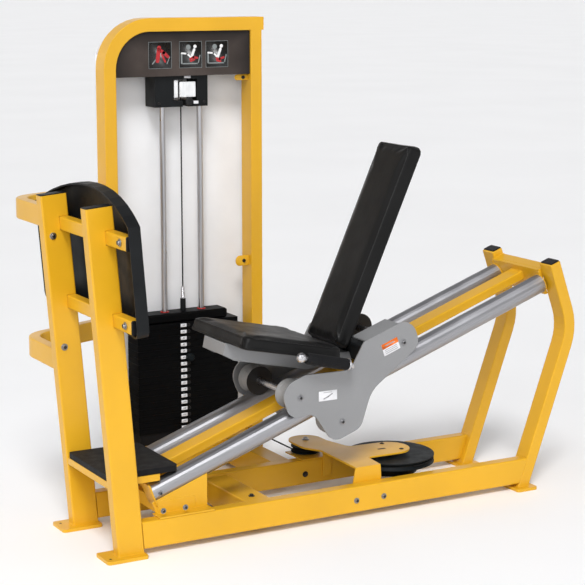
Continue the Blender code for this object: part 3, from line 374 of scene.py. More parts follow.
NODE_FINISHES = {
    "guide_rod_left": "rod_chrome", "guide_rod_right": "rod_chrome",
    "cable_fitting": "black_paint", "selector_pin": "black_nylon",
}


def finish_nodes():
    for name, node in NODES.items():
        material = MATERIALS[NODE_FINISHES.get(name, SLOT_OF[name])]
        if not node.material_slots:
            node.data.materials.append(material)
        for place in node.material_slots:
            place.link = "OBJECT"
            place.material = material


# --- shells and pieces

NEARLY_UPRIGHT = 1e-4
AROUND = 24
BEAD_SIDES = 8
BEAD_STEP = 0.0022


def turns(count):
    return [2 * pi * k / count for k in range(count)]


def circle(radius, height, count=AROUND):
    return [Vector((radius * cos(a), radius * sin(a), height)) for a in turns(count)]


def circles(*levels):
    """Rings from (radius, height) pairs."""
    return [circle(radius, height) for radius, height in levels]


def hexagon(radius, height):
    """A hexagon drawn with the same number of points as a circle."""
    ring = []
    for angle in turns(AROUND):
        within = (angle % (pi / 3)) - pi / 6
        reach = radius * cos(pi / 6) / cos(within)
        ring.append(Vector((reach * cos(angle), reach * sin(angle), height)))
    return ring


def rounded_ring(half_a, half_b, radius, height, steps=4):
    radius = min(radius, half_a * 0.98, half_b * 0.98)
    ring = []
    for quarter, (sa, sb) in enumerate(((1, 1), (-1, 1), (-1, -1), (1, -1))):
        for k in range(steps + 1):
            angle = pi / 2 * (quarter + k / steps)
            a = sa * (half_a - radius) + radius * cos(angle)
            b = sb * (half_b - radius) + radius * sin(angle)
            ring.append(Vector((a, b, height)))
    return ring


def loft(rings, matrix=Matrix(), caps=True):
    """A closed shell through rings that have as many points each: (points, faces)."""
    count = len(rings[0])
    points = [matrix @ p for ring in rings for p in ring]
    faces = []
    for level in range(len(rings) - 1):
        low = level * count
        for k in range(count):
            after = (k + 1) % count
            faces.append((low + k, low + after, low + count + after, low + count + k))
    if caps:
        last = (len(rings) - 1) * count
        faces.append(tuple(reversed(range(count))))
        faces.append(tuple(last + k for k in range(count)))
    return points, faces


def looped(rings, matrix=Matrix()):
    """A closed shell whose last ring meets its first."""
    points, faces = loft(rings, matrix, caps=False)
    count = len(rings[0])
    last = (len(rings) - 1) * count
    for k in range(count):
        after = (k + 1) % count
        faces.append((last + k, last + after, after, k))
    return points, faces


def piece(name, shells, finish, body="frame", smooth=40):
    """One object from several shells, which rides on a body.
    """
    points = []
    faces = []
    for shell_points, shell_faces in shells:
        first = len(points)
        points.extend(shell_points)
        faces.extend(tuple(first + index for index in face) for face in shell_faces)
    mesh = bpy.data.meshes.new(name)
    mesh.from_pydata(points, [], faces)
    mesh.materials.append(MATERIALS[finish])
    fixer = bmesh.new()
    fixer.from_mesh(mesh)
    bmesh.ops.recalc_face_normals(fixer, faces=fixer.faces)
    fixer.to_mesh(mesh)
    fixer.free()
    mesh.shade_smooth()
    mesh.set_sharp_from_angle(angle=radians(smooth))
    obj = linked(name, mesh)
    if body:
        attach(obj, body)
    return obj


def placed(point, across, normal):
    """A place whose x axis runs across and whose z axis is the normal."""
    turn = Matrix((across, normal.cross(across), normal)).transposed().to_4x4()
    return Matrix.Translation(Vector(point)) @ turn


def facing(point, normal):
    """A place whose z axis is the normal and whose y axis is as near to up as it can be."""
    normal = Vector(normal).normalized()
    across = Z.cross(normal)
    if across.length < NEARLY_UPRIGHT:
        across = X.copy()
    return placed(point, across.normalized(), normal)


def centre_of(node):
    low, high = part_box(node)
    return (low + high) / 2


# --- caps, screws and welds

CAP_RISE = 0.0035
TUBE_CORNER = 0.006


def end_face(node, direction, across):
    """The centre of a node's outermost face along a direction, and its half sizes across it and up it."""
    third = direction.cross(across)
    points = [v.co for v in NODES[node].data.vertices]
    top = max(p.dot(direction) for p in points)
    face = [p for p in points if p.dot(direction) > top - 0.0015]
    spans = []
    centre = direction * top
    for axis in (across, third):
        low = min(p.dot(axis) for p in face)
        high = max(p.dot(axis) for p in face)
        centre += axis * (low + high) / 2
        spans.append((high - low) / 2)
    return centre, spans[0], spans[1]


def cap_shell(node, direction, across, rise=CAP_RISE):
    centre, half_a, half_b = end_face(node, direction, across)
    levels = ((0.0006, 0.0002), (0.0006, rise * 0.55), (0.0016, rise * 0.88), (0.004, rise),
              (0.012, rise * 1.05))
    rings = [rounded_ring(half_a - inset, half_b - inset, TUBE_CORNER, height) for inset, height in levels]
    return loft(rings, placed(centre, across, direction))


def tube_caps():
    shells = []
    for side in ("left", "right"):
        shells.append(cap_shell(f"front_post_{side}", POST_UP, Y))
        shells.append(cap_shell(f"rear_post_{side}", ACROSS_TUBES, Y))
    for node in ("upper_crossbar", "lower_crossbar"):
        for direction in (Y, -Y):
            shells.append(cap_shell(node, direction, X))
    shells.append(cap_shell("centre_beam", -ALONG_TUBES, Y, 0.002))
    piece("tube_caps", shells, "cap_plastic_and_shade")


WASHER = 0.0012
HEAD_HEIGHT = 0.95


def screw_shell(point, normal, radius, washer=1.65):
    """A cap screw on a washer, with a six-sided socket."""
    head = radius * HEAD_HEIGHT
    top = WASHER + head
    rings = circles((radius * washer, 0), (radius * washer, WASHER), (radius * washer * 0.96, 0.0016),
                    (radius * 1.04, 0.0017), (radius, 0.002), (radius, WASHER + head * 0.8),
                    (radius * 0.88, top))
    rings += [hexagon(radius * 0.6, top), hexagon(radius * 0.56, WASHER + head * 0.45)]
    return loft(rings, facing(point, normal))


def socket_shade_shell(point, normal, radius):
    """A dark shell over the hollow inside a screw's head: painted shade."""
    top = WASHER + radius * HEAD_HEIGHT
    rings = circles((radius * 0.78, top * 0.5), (radius * 0.78, top + 0.0001))
    rings.append(hexagon(radius * 0.66, top + 0.0002))
    return loft(rings, facing(point, normal))


def screw_piece(name, screws, finish, body="frame"):
    """Screws from (point, normal, radius): heads in the given finish, with painted shade in each socket."""
    piece(name, [screw_shell(*screw) for screw in screws], finish, body)
    # a dark shell of painted shade over each socket
    piece(f"{name}_socket_shade", [socket_shade_shell(*screw[:3]) for screw in screws], "print_and_shade_black", body)


def domed_shell(point, normal, radius, rise):
    """A low round boss with a dimple in its middle."""
    rings = circles((radius, 0), (radius, rise * 0.5), (radius * 0.93, rise * 0.85), (radius * 0.7, rise),
                    (radius * 0.32, rise * 1.02), (radius * 0.26, rise * 0.5))
    return loft(rings, facing(point, normal))


AXLE_SCREW = 0.0066
AXLE_WASHER = 1.9


def axle_screws():
    """Each axle ends in a screw on the outside of both carriage plates."""
    screws = []
    for node in ("front_axle", "rear_axle", "bottom_axle"):
        centre = centre_of(node)
        low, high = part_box(node)
        near = min(low.y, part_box("carriage_plate_left")[0].y)
        far = max(high.y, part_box("carriage_plate_right")[1].y)
        for y, normal in ((near, -Y), (far, Y)):
            screws.append(((centre.x, y, centre.z), normal, AXLE_SCREW, AXLE_WASHER))
    screw_piece("axle_screws", screws, "screw_steel", "carriage")


RAIL_SCREWS_X = (0.028, 0.151)
RAIL_SCREWS_Z = 0.072
RAIL_SCREW = 0.007
INNER_RAIL_SCREW = (0.041, 0.068)
POST_SCREWS = ((-1.0168, 1.117), (-0.9828, 0.701))
POST_SCREW = 0.008
CROSSBAR_SCREW = 0.0085
CROSSBAR_SCREW_INSET = 0.05
BRACKET_SCREWS_X = (-0.786, -0.698)
BRACKET_SCREWS_Z = 0.1575
BRACKET_SCREW = 0.0065
FOOT_HOLES_X = -0.9948
FOOT_HOLES_Y = (-0.425, 0.047)
FOOT_SCREW_Z = 0.007
FOOT_SCREW = 0.004
MEMBER_SCREW_Y = -0.3085
BASE_SCREW = 0.0075
TUBE_SCREW_AHEAD = 0.038
TUBE_SCREW_UP = 0.043
TUBE_SCREW_SINK = 0.0012
TUBE_SCREW = 0.006
PULLEY_SCREW = 0.009


def rail_and_post_screws():
    rails = ((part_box("rail_left")[0].y, -Y), (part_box("rail_right")[1].y, Y))
    posts = ((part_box("front_post_right")[0].y, -Y), (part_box("front_post_left")[1].y, Y))
    screws = [((x, y, RAIL_SCREWS_Z), out, RAIL_SCREW) for x in RAIL_SCREWS_X for y, out in rails]
    screws += [((x, y, z), out, POST_SCREW) for x, z in POST_SCREWS for y, out in posts]
    return screws


def crossbar_screws():
    screws = []
    for bar in ("upper_crossbar", "lower_crossbar"):
        low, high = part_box(bar)
        middle = (low.z + high.z) / 2
        for y in (low.y + CROSSBAR_SCREW_INSET, high.y - CROSSBAR_SCREW_INSET):
            screws.append(((low.x, y, middle), -X, CROSSBAR_SCREW))
    return screws


def bracket_screws():
    low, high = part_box("front_bracket")
    sides = ((low.y - 0.0002, -Y), (high.y + 0.0002, Y))
    return [((x, y, BRACKET_SCREWS_Z), out, BRACKET_SCREW) for y, out in sides for x in BRACKET_SCREWS_X]


def tube_screws():
    """A screw through the lower end of each guide tube."""
    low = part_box("guide_tube_left")[0]
    screws = []
    for y, out in ((low.y + TUBE_SCREW_SINK, -Y), (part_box("guide_tube_right")[1].y - TUBE_SCREW_SINK, Y)):
        screws.append(((low.x + TUBE_SCREW_AHEAD, y, low.z + TUBE_SCREW_UP), out, TUBE_SCREW))
    return screws


def frame_screws():
    corner = centre_of("corner_pulley")
    steel = rail_and_post_screws() + crossbar_screws() + bracket_screws() + tube_screws()
    steel.append(((corner.x, corner.y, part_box("pulley_bracket")[1].z), Z, PULLEY_SCREW))
    x, z = INNER_RAIL_SCREW
    black = [((x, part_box("rail_right")[0].y, z), -Y, BASE_SCREW)]
    black += [((FOOT_HOLES_X, y, FOOT_SCREW_Z), Z, FOOT_SCREW) for y in FOOT_HOLES_Y]
    member = centre_of("middle_crossmember")
    black.append(((member.x, MEMBER_SCREW_Y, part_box("middle_crossmember")[1].z), Z, BASE_SCREW))
    screw_piece("frame_screws_steel", steel, "screw_steel", "frame")
    screw_piece("frame_screws_black", black, "screw_black_and_shade")


def bead(path, radius):
    """A closed weld bead: a tube along the path with the even ripples of a run of weld."""
    total = len(path)
    rings = []
    for index, point in enumerate(path):
        along = (path[(index + 1) % total] - path[index - 1]).normalized()
        side = along.cross(Z if abs(along.z) < 0.9 else X).normalized()
        other = along.cross(side)
        swell = radius * (1 + 0.16 * sin(index * pi / 2) + 0.1 * noise.noise(point * 90))
        rings.append([point + swell * (cos(a) * side + sin(a) * other) for a in turns(BEAD_SIDES)])
    return looped(rings)


def resampled(ring, step):
    """Evenly spaced points along a closed ring."""
    points = [*ring, ring[0]]
    result = []
    carry = 0.0
    for first, second in zip(points, points[1:]):
        length = (second - first).length
        position = carry
        while position < length:
            result.append(first.lerp(second, position / length))
            position += step
        carry = position - length
    return result


def box_loop(place, half_a, half_b):
    ring = rounded_ring(half_a, half_b, TUBE_CORNER, 0)
    return resampled([place @ p for p in ring], BEAD_STEP)


def round_loop(place, radius):
    return resampled([place @ p for p in circle(radius, 0, 40)], BEAD_STEP)


END_PLATE_HALF = (0.04, 0.044)
END_PLATE = 0.005
END_PLATE_CORNER = 0.008
END_PLATE_GAP = 0.0003


def tube_end_plates():
    """A plate across the lower end of each guide tube."""
    shells = []
    for side in ("left", "right"):
        centre, _, _ = end_face(f"guide_tube_{side}", -ALONG_TUBES, Y)
        place = placed(centre - ALONG_TUBES * END_PLATE_GAP, Y, -ALONG_TUBES)
        shells.append(plate_shell(place, *END_PLATE_HALF, END_PLATE_CORNER, END_PLATE))
    piece("tube_end_plates", shells, "yellow_paint")


def bracket_holes():
    """A slot and two round holes on the hub of the plate over the main pulley, their dark insides drawn as
    painted shade.
    """
    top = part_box("pulley_bracket")[1].z
    hub = centre_of("main_pulley")
    place = Matrix.Translation((hub.x, hub.y, top))
    # the slot is a flat dark strip of painted shade
    shells = stroke(((-0.052, 0), (-0.026, 0)), 0.012, place, 0.0002)
    piece("bracket_slot_shade", shells, "cap_plastic_and_shade")
    rings = []
    # each hole is a dark ring of painted shade
    for x, y in ((0.005, 0.0665), (0.03, -0.04)):
        hole = circles((0.0092, 0), (0.0092, 0.0014), (0.008, 0.002), (0.0058, 0.0016), (0.0052, 0.0002))
        rings.append(loft(hole, place @ Matrix.Translation((x, y, 0))))
    piece("bracket_hole_shade", rings, "screw_black_and_shade")


WELD = 0.0024
TUBE_WELD = WELD * 0.9
WELD_INSET = 0.0015
TUBE_WELD_INSET = 0.001
FOOT_WELD_RISE = 0.0005
POST_FOOT = 0.03


def welds():
    shells = []
    low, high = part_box("middle_crossmember")
    centre = (low + high) / 2
    half = (high - low) / 2
    for y in (low.y + WELD_INSET, high.y - WELD_INSET):
        shells.append(bead(box_loop(facing((centre.x, y, centre.z), Y), half.x, half.z), WELD))
    low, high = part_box("rear_crossbar")
    middle, half_a, half_b = end_face("rear_crossbar", Y, ALONG_TUBES)
    for y in (low.y + WELD_INSET, high.y - WELD_INSET):
        place = placed((middle.x, y, middle.z), ALONG_TUBES, -Y)
        shells.append(bead(box_loop(place, half_a, half_b), WELD))
    for side in ("left", "right"):
        for post, foot in (("front_post", "front_foot"), ("rear_post", "rear_foot")):
            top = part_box(f"{foot}_{side}")[1].z
            points = [v.co for v in NODES[f"{post}_{side}"].data.vertices if v.co.z < top + POST_FOOT]
            low = Vector(map(min, zip(*points)))
            high = Vector(map(max, zip(*points)))
            place = facing(((low.x + high.x) / 2, (low.y + high.y) / 2, top + FOOT_WELD_RISE), Z)
            shells.append(bead(box_loop(place, (high.x - low.x) / 2, (high.y - low.y) / 2), WELD))
        tube_end, radius, _ = end_face(f"guide_tube_{side}", ALONG_TUBES, Y)
        place = placed(tube_end - ALONG_TUBES * TUBE_WELD_INSET, Y, ALONG_TUBES)
        shells.append(bead(round_loop(place, radius), TUBE_WELD))
    beam_end, half_a, half_b = end_face("centre_beam", ALONG_TUBES, Y)
    shells.append(bead(box_loop(placed(beam_end, Y, ALONG_TUBES), half_a, half_b), WELD))
    piece("weld_beads", shells, "yellow_paint", smooth=80)


# --- labels and printing

def plate_shell(place, half_a, half_b, corner, thickness):
    rings = [rounded_ring(half_a, half_b, corner, 0), rounded_ring(half_a, half_b, corner, thickness * 0.7),
             rounded_ring(half_a - thickness * 0.3, half_b - thickness * 0.3, corner, thickness)]
    return loft(rings, place)


def evaluated_copy(obj):
    bpy.context.view_layer.update()
    return bpy.data.meshes.new_from_object(obj.evaluated_get(bpy.context.evaluated_depsgraph_get()))


def text_shell(text, size, place):
    """Flat numerals as a thin shell, centred on the place."""
    curve = bpy.data.curves.new("numeral", "FONT")
    curve.body = text
    curve.size = size
    curve.align_x = "CENTER"
    curve.align_y = "CENTER"
    curve.extrude = 0.00006
    curve.resolution_u = 3
    obj = linked("numeral", curve)
    mesh = evaluated_copy(obj)
    points = [place @ v.co for v in mesh.vertices]
    faces = [tuple(p.vertices) for p in mesh.polygons]
    bpy.data.objects.remove(obj)
    bpy.data.curves.remove(curve)
    bpy.data.meshes.remove(mesh)
    return points, faces


PLATE_PITCH = 0.0272
PLATE_COUNT = 17
LIFTED_COUNT = 6
PLATE_STEP_WEIGHT = 10
LABEL_HALF = (0.0138, 0.0072)
LABEL_SIDE = -0.0225


def stack_markings():
    """A numbered label and a pin hole on each weight plate."""
    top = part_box("lifted_plates")[1].z
    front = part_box("lifted_plates")[0].y
    rod_x = centre_of("cable_fitting").x
    groups = {"lifted": ([], [], [], "lifted_stack"), "resting": ([], [], [], "frame")}
    for index in range(PLATE_COUNT):
        group = groups["lifted" if index < LIFTED_COUNT else "resting"]
        z = top - PLATE_PITCH * (index + 0.5)
        label = facing((rod_x + LABEL_SIDE, front - 0.0001, z), -Y)
        group[0].append(plate_shell(label, *LABEL_HALF, 0.0015, 0.0004))
        number = facing((rod_x + LABEL_SIDE, front - 0.0006, z), -Y)
        group[1].append(text_shell(str(PLATE_STEP_WEIGHT * (index + 1)), 0.0108, number))
        if index != LIFTED_COUNT - 1:
            hole = circles((0.0082, 0), (0.0082, 0.0006), (0.0072, 0.001), (0.006, 0.0008),
                           (0.0056, 0.0001))
            group[2].append(loft(hole, facing((rod_x, front, z), -Y)))
    for name, (labels, numbers, holes, body) in groups.items():
        piece(f"stack_labels_{name}", labels, "label_white", body)
        piece(f"stack_numbers_{name}", numbers, "print_and_shade_black", body)
        piece(f"pin_holes_{name}", holes, "screw_black_and_shade", body)


def head_bushes():
    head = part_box("stack_head")
    shells = []
    for side in ("left", "right"):
        rod = centre_of(f"guide_rod_{side}")
        place = Matrix.Translation((rod.x, rod.y, head[1].z))
        rings = circles((0.0135, 0.0002), (0.018, 0.0002), (0.0184, 0.0018), (0.0172, 0.0034),
                        (0.0145, 0.0038), (0.0135, 0.0032))
        shells.append(looped(rings, place))
    piece("head_bushes", shells, "bush_red", "lifted_stack")


INK_THICKNESS = 0.0002


def stroke(path, width, place, height):
    """A flat printed line with round ends, as a thin shell."""
    shells = []
    for first, second in zip(path, path[1:]):
        first = Vector(first)
        second = Vector(second)
        along = (second - first).normalized()
        angle = atan2(along.y, along.x)
        ring = []
        for end, base in ((second, angle - pi / 2), (first, angle + pi / 2)):
            for k in range(7):
                a = base + pi * k / 6
                ring.append((end.x + width / 2 * cos(a), end.y + width / 2 * sin(a)))
        rings = [[Vector((x, y, h)) for x, y in ring] for h in (height, height + INK_THICKNESS)]
        shells.append(loft(rings, place))
    return shells


def disc(path, radius, place, height):
    """A flat printed spot at the path's only point."""
    centre = Vector((*path[0], 0))
    rings = [[p + centre for p in circle(radius, h, 16)] for h in (height, height + INK_THICKNESS)]
    return [loft(rings, place)]


PICTURE_HALF = (0.05, 0.0525)
PICTURE_BORDER = 0.0016
PICTURES = ((-0.3498, "leg"), (-0.2143, "bent"), (-0.0953, "straight"))
PICTURE_Z = 1.7345
KNEE_RISE = 0.01
LEG_STROKES = (
    ("red", 0.017, 0.0004, (-0.004, 0.03), (-0.012, -0.022)),
    ("red", 0.013, 0.0006, (-0.006, 0.024), (0.016, 0.01), (0.034, -0.006)),
    ("red", 0.008, 0.0005, (0.008, 0.002), (0.022, -0.026)),
    ("grey", 0.005, 0.0004, (-0.034, -0.034), (-0.02, -0.018)),
    ("grey", 0.004, 0.0004, (0.03, -0.034), (0.042, -0.008)),
)


def figure_strokes(knee):
    """A machine in grey, a body in white and its leg in red."""
    return (
        ("grey", 0.005, 0.0004, (-0.036, -0.036), (0.034, -0.036), (0.042, -0.004)),
        ("grey", 0.007, 0.0004, (-0.04, 0.000), (-0.04, -0.034)),
        ("grey", 0.0105, 0.0004, (-0.01, 0.03)),
        ("white", 0.011, 0.0004, (0.016, 0.02), (0.002, -0.016)),
        ("white", 0.007, 0.0005, (-0.04, 0.006), (-0.016, 0.004), (0.002, -0.012)),
        ("white", 0.0075, 0.0004, (0.02, 0.032)),
        ("red", 0.009, 0.0006, (-0.002, -0.018), (0.012, -0.02 + knee), (0.03, -0.014)),
        ("red", 0.008, 0.0007, (0.000, -0.026), (0.016, -0.03 + knee)),
    )


def placard_print():
    """Three squares on the placard: a leg, and a seated figure with its legs bent and straight."""
    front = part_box("placard")[0].y
    a, b = PICTURE_HALF
    squares = []
    inks = {"grey": [], "red": [], "white": []}
    for x, kind in PICTURES:
        place = facing((x, front - 0.0002, PICTURE_Z), -Y)
        squares.append(plate_shell(place, a, b, 0.003, 0.0003))
        border = ((-a, -b), (a, -b), (a, b), (-a, b), (-a, -b))
        inks["grey"] += stroke(border, PICTURE_BORDER, place, 0.0003)
        strokes = LEG_STROKES if kind == "leg" else figure_strokes(KNEE_RISE if kind == "bent" else 0)
        for ink, size, height, *path in strokes:
            draw = stroke if len(path) > 1 else disc
            inks[ink] += draw(path, size, place, height)
    piece("placard_squares", squares, "print_and_shade_black")
    piece("placard_lines", inks["grey"], "print_grey")
    piece("placard_red", inks["red"], "print_red")
    piece("placard_white", inks["white"], "print_white")


LEVEL_LABEL = (-0.0855, 0.493)
LEVEL_LABEL_HALF = (0.04, 0.019)
TILTED_LABEL = (0.1925, 0.652)
TILTED_LABEL_HALF = (0.038, 0.024)
LABEL_TILT = radians(20)
LABEL_HEAD_HALF = (0.0378, 0.0104)
LABEL_HEAD_UP = 0.0135


def side_labels():
    """A white label and an orange-headed one on the near carriage plate, with lines in place of words."""
    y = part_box("carriage_plate_left")[0].y
    level = facing((LEVEL_LABEL[0], y, LEVEL_LABEL[1]), -Y)
    tilted = facing((TILTED_LABEL[0], y, TILTED_LABEL[1]), -Y) @ Matrix.Rotation(LABEL_TILT, 4, "Z")
    white = [plate_shell(level, *LEVEL_LABEL_HALF, 0.002, 0.0005),
             plate_shell(tilted, *TILTED_LABEL_HALF, 0.002, 0.0005)]
    head = tilted @ Matrix.Translation((0, LABEL_HEAD_UP, 0.0005))
    orange = [plate_shell(head, *LABEL_HEAD_HALF, 0.0015, 0.0002)]
    grey = stroke(((-0.018, -0.011), (0.000, -0.004), (0.018, 0.006)), 0.005, level, 0.0005)
    grey += stroke(((-0.02, 0.013), (0.016, 0.013)), 0.002, level, 0.0005)
    for height in (-0.003, -0.01, -0.017):
        grey += stroke(((-0.029, height), (0.027, height)), 0.0026, tilted, 0.0005)
    grey += stroke(((-0.022, LABEL_HEAD_UP), (0.02, LABEL_HEAD_UP)), 0.0045, tilted, 0.0007)
    piece("plate_labels", white, "label_white", "carriage")
    piece("plate_label_heads", orange, "label_orange", "carriage")
    piece("plate_label_lines", grey, "label_grey", "carriage")


HOUSING_TAGS = ((-0.222, 1.646, 0.015, 0.0065), (-0.184, 1.541, 0.011, 0.006))
HOUSING_BOSS = (-0.216, 1.546)
HOUSING_SCREW = 0.0042
HOUSING_SCREW_INSET = 0.016
HOUSING_SCREW_TOP = 1.66


def housing_details():
    low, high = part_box("pulley_housing")
    white = [plate_shell(facing((x, low.y, z), -Y), a, b, 0.001, 0.0004) for x, z, a, b in HOUSING_TAGS]
    piece("housing_tags", white, "label_white")
    bosses = [domed_shell((HOUSING_BOSS[0], low.y, HOUSING_BOSS[1]), -Y, 0.017, 0.006)]
    for z in (low.z + HOUSING_SCREW_INSET, HOUSING_SCREW_TOP):
        for x in (low.x + HOUSING_SCREW_INSET, high.x - HOUSING_SCREW_INSET):
            bosses.append(screw_shell((x, low.y, z), -Y, HOUSING_SCREW))
    piece("housing_bosses", bosses, "screw_black_and_shade")


GUARD_INSET = 0.004
GUARDS = ((-0.2725, 1.597, 0.0085, 0.035, 0.002), (-0.2205, 1.594, 0.036, 0.031, 0.004))
GUARD = 0.003
GUARD_RIBS_X = (-0.246, -0.2205, -0.195)
GUARD_RIBS_Z = 1.594


def pulley_guard():
    """Pale moulded guards in the housing's window, in front of the top pulley."""
    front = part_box("pulley_housing")[0].y + GUARD_INSET
    shells = []
    for x, z, half_a, half_b, corner in GUARDS:
        shells.append(plate_shell(facing((x, front, z), -Y), half_a, half_b, corner, GUARD))
    for x in GUARD_RIBS_X:
        place = facing((x, front - GUARD, GUARD_RIBS_Z), -Y)
        shells.append(plate_shell(place, 0.0075, 0.027, 0.003, 0.0012))
    piece("pulley_guards", shells, "light_grey_nylon")


COLLAR_RIDGES = 9
COLLAR_START = 0.0045
COLLAR_PITCH = 0.0052
COLLAR_DROP = 0.029


def cable_collar():
    """A ridged steel ferrule where the cable enters its fitting on the stack."""
    fitting = centre_of("cable_fitting")
    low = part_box("cable_fitting")[1].z - COLLAR_DROP
    place = Matrix.Translation((fitting.x, fitting.y, low))
    rings = circles((0.0072, 0), (0.0098, 0.0005), (0.01, 0.0035))
    for ridge in range(COLLAR_RIDGES):
        height = COLLAR_START + COLLAR_PITCH * ridge
        reach = 0.0092 - 0.00032 * ridge
        rings += circles((reach - 0.0012, height), (reach, height + 0.0014), (reach, height + 0.0032))
    rings.append(circle(0.004, COLLAR_START + COLLAR_PITCH * COLLAR_RIDGES))
    piece("cable_collar", [loft(rings, place)], "bright_steel", "lifted_stack")


SHROUD_SCREW_INSET = 0.03
SHROUD_SCREW_ROWS = (0.05, 0.35, 0.65, 0.85)
SHROUD_SCREW_RADIUS = 0.0032


def shroud_screws():
    """Two columns of small screws that hold the back sheet to the arch."""
    low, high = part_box("shroud")
    screws = []
    for x in (low.x + SHROUD_SCREW_INSET, high.x - SHROUD_SCREW_INSET):
        for share in SHROUD_SCREW_ROWS:
            z = low.z + share * (high.z - low.z)
            screws.append(((x, high.y, z), Y, SHROUD_SCREW_RADIUS))
    screw_piece("shroud_screws", screws, "screw_steel", "frame")


LUGS = ((1.636, 0.012), (0.87, 0.022))
LUG_REACH = 0.036
LUG = 0.004
LUG_BACK = 0.03
UPRIGHT_WIDTH = 0.0505


def upright_tabs():
    """Two small screwed lugs on the inner side of the right upright, which hold the shroud."""
    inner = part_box("tower_arch")[1].x - UPRIGHT_WIDTH
    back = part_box("tower_arch")[0].y + LUG_BACK
    lugs = []
    screws = []
    for z, half in LUGS:
        lugs.append(plate_shell(facing((inner - LUG_REACH, back, z), -Y), LUG_REACH, half, half * 0.9, LUG))
        screws.append(screw_shell((inner - LUG_REACH * 0.95, back - LUG, z), -Y, 0.006, 1.3))
    piece("upright_lugs", lugs, "yellow_paint")
    piece("upright_lug_screws", screws, "screw_black_and_shade")


GRIP_SLOPE = atan2(0.0475, 0.2)
COLLAR_OVERLAP = 0.0004


def grip_rings():
    """A bright collar at the rear end of each rubber grip."""
    shells = []
    along = Vector((-cos(GRIP_SLOPE), 0, sin(GRIP_SLOPE)))
    for side in ("left", "right"):
        middle = centre_of(f"grip_{side}")
        reach = min((v.co - middle).dot(along) for v in NODES[f"grip_{side}"].data.vertices)
        place = facing(middle + along * (reach - COLLAR_OVERLAP), -along)
        rings = circles((0.0125, 0), (0.0218, 0), (0.0232, 0.0015), (0.0232, 0.0045), (0.0215, 0.006),
                        (0.0125, 0.006))
        shells.append(looped(rings, place))
    piece("grip_collars", shells, "bright_steel", "carriage")


# --- stack cable

ROPE_STEPS = 210
ROPE_TWIST = 0.55
ROPE_SIDES = 12


def stack_cable():
    """Plastic-coated wire rope from the stack up to the top pulley."""
    low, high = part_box("stack_cable")
    centre = (low + high) / 2
    radius = (high.x - low.x) / 2
    rings = []
    for index in range(ROPE_STEPS + 1):
        z = low.z + (high.z - low.z) * index / ROPE_STEPS
        twist = index * ROPE_TWIST
        ring = []
        for angle in turns(ROPE_SIDES):
            reach = radius * (0.93 + 0.07 * cos(3 * (angle - twist)))
            ring.append(Vector((centre.x + reach * cos(angle), centre.y + reach * sin(angle), z)))
        rings.append(ring)
    cable = piece("stack_cable_rope", [loft(rings)], "rubber", smooth=80)
    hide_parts("stack_cable")
    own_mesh(cable)


# --- upholstered pads

REMESH = 0.006
PRESSURE = 4.0
FRAMES = 20
START_SHRINK = 0.006
SWELL_CAP = 0.008
PINCH = 0.006
SEAM = 0.0019
STITCH_STEP = 0.0075
STITCH_HALF = 0.0023
STITCH_INSET = 0.02
BOARD_EDGE = 0.006
EDGE_SOFTNESS = 0.01
SKIN_WAVE = 0.0006
SKIN_WAVE_RATE = 14
TOP_SEAM_DROP = 0.012
LOW_SEAM_RISE = 0.009
SEAM_REACH = 0.03
SEAM_POINTS = 240
SEAM_SMOOTHING = 3


def pad_blank(name, length, width, thickness, corner):
    """A slab with round corners and edges, a little smaller than the finished pad, remeshed evenly."""
    half_a = length / 2 - START_SHRINK
    half_b = width / 2 - START_SHRINK
    low = -thickness / 2
    high = thickness / 2 - START_SHRINK
    levels = [(EDGE_SOFTNESS * 0.35, low), (0, low + 0.004)]
    for k in range(5):
        angle = pi / 2 * k / 4
        rise = EDGE_SOFTNESS * sin(angle)
        levels.append((EDGE_SOFTNESS * (1 - cos(angle)), high - EDGE_SOFTNESS + rise))
    rings = [rounded_ring(half_a - inset, half_b - inset, corner - inset, z, 8) for inset, z in levels]
    blank = piece(name, [loft(rings)], "vinyl", None)
    voxel = blank.modifiers.new("voxel", "REMESH")
    voxel.mode = "VOXEL"
    voxel.voxel_size = REMESH
    mesh = evaluated_copy(blank)
    blank.modifiers.clear()
    blank.data = mesh
    return blank


def inflate(pad, thickness):
    """Fills the cover with cloth pressure, held along its board, and returns the points that it reaches."""
    rest = np.array([v.co for v in pad.data.vertices])
    board = pad.vertex_groups.new(name="board")
    board.add([i for i, p in enumerate(rest) if p[2] < -thickness / 2 + BOARD_EDGE], 1.0, "REPLACE")
    cloth = pad.modifiers.new("cloth", "CLOTH")
    settings = cloth.settings
    settings.vertex_group_mass = "board"
    settings.use_pressure = True
    settings.uniform_pressure_force = PRESSURE
    settings.effector_weights.gravity = 0
    settings.quality = 5
    cloth.point_cache.frame_start = 1
    cloth.point_cache.frame_end = FRAMES
    for step in range(1, FRAMES + 1):
        bpy.context.scene.frame_set(step)
    mesh = evaluated_copy(pad)
    filled = np.array([v.co for v in mesh.vertices])
    bpy.data.meshes.remove(mesh)
    pad.modifiers.clear()
    pad.vertex_groups.clear()
    bpy.context.scene.frame_set(1)
    return rest, filled


def perimeter(length, width, corner):
    ring = rounded_ring(length / 2, width / 2, corner, 0, 12)
    total = sum((ring[i] - ring[i - 1]).length for i in range(len(ring)))
    return resampled(ring, total / SEAM_POINTS)


def smoothed(points):
    for _ in range(SEAM_SMOOTHING):
        total = len(points)
        points = [(points[i - 1] + 2 * points[i] + points[(i + 1) % total]) / 4 for i in range(total)]
    return points


def seam_path(tree, length, width, corner, height):
    """Where a seam lies on the pad's sides at this height."""
    path = []
    for point in perimeter(length + 2 * SEAM_REACH, width + 2 * SEAM_REACH, corner + SEAM_REACH):
        inward = Vector((-point.x, -point.y, 0)).normalized()
        start = Vector((point.x, point.y, height))
        hit = tree.ray_cast(start, perimeter_normal(point, length, width, corner))[0]
        path.append(hit or start + inward * SEAM_REACH)
    return smoothed(path)


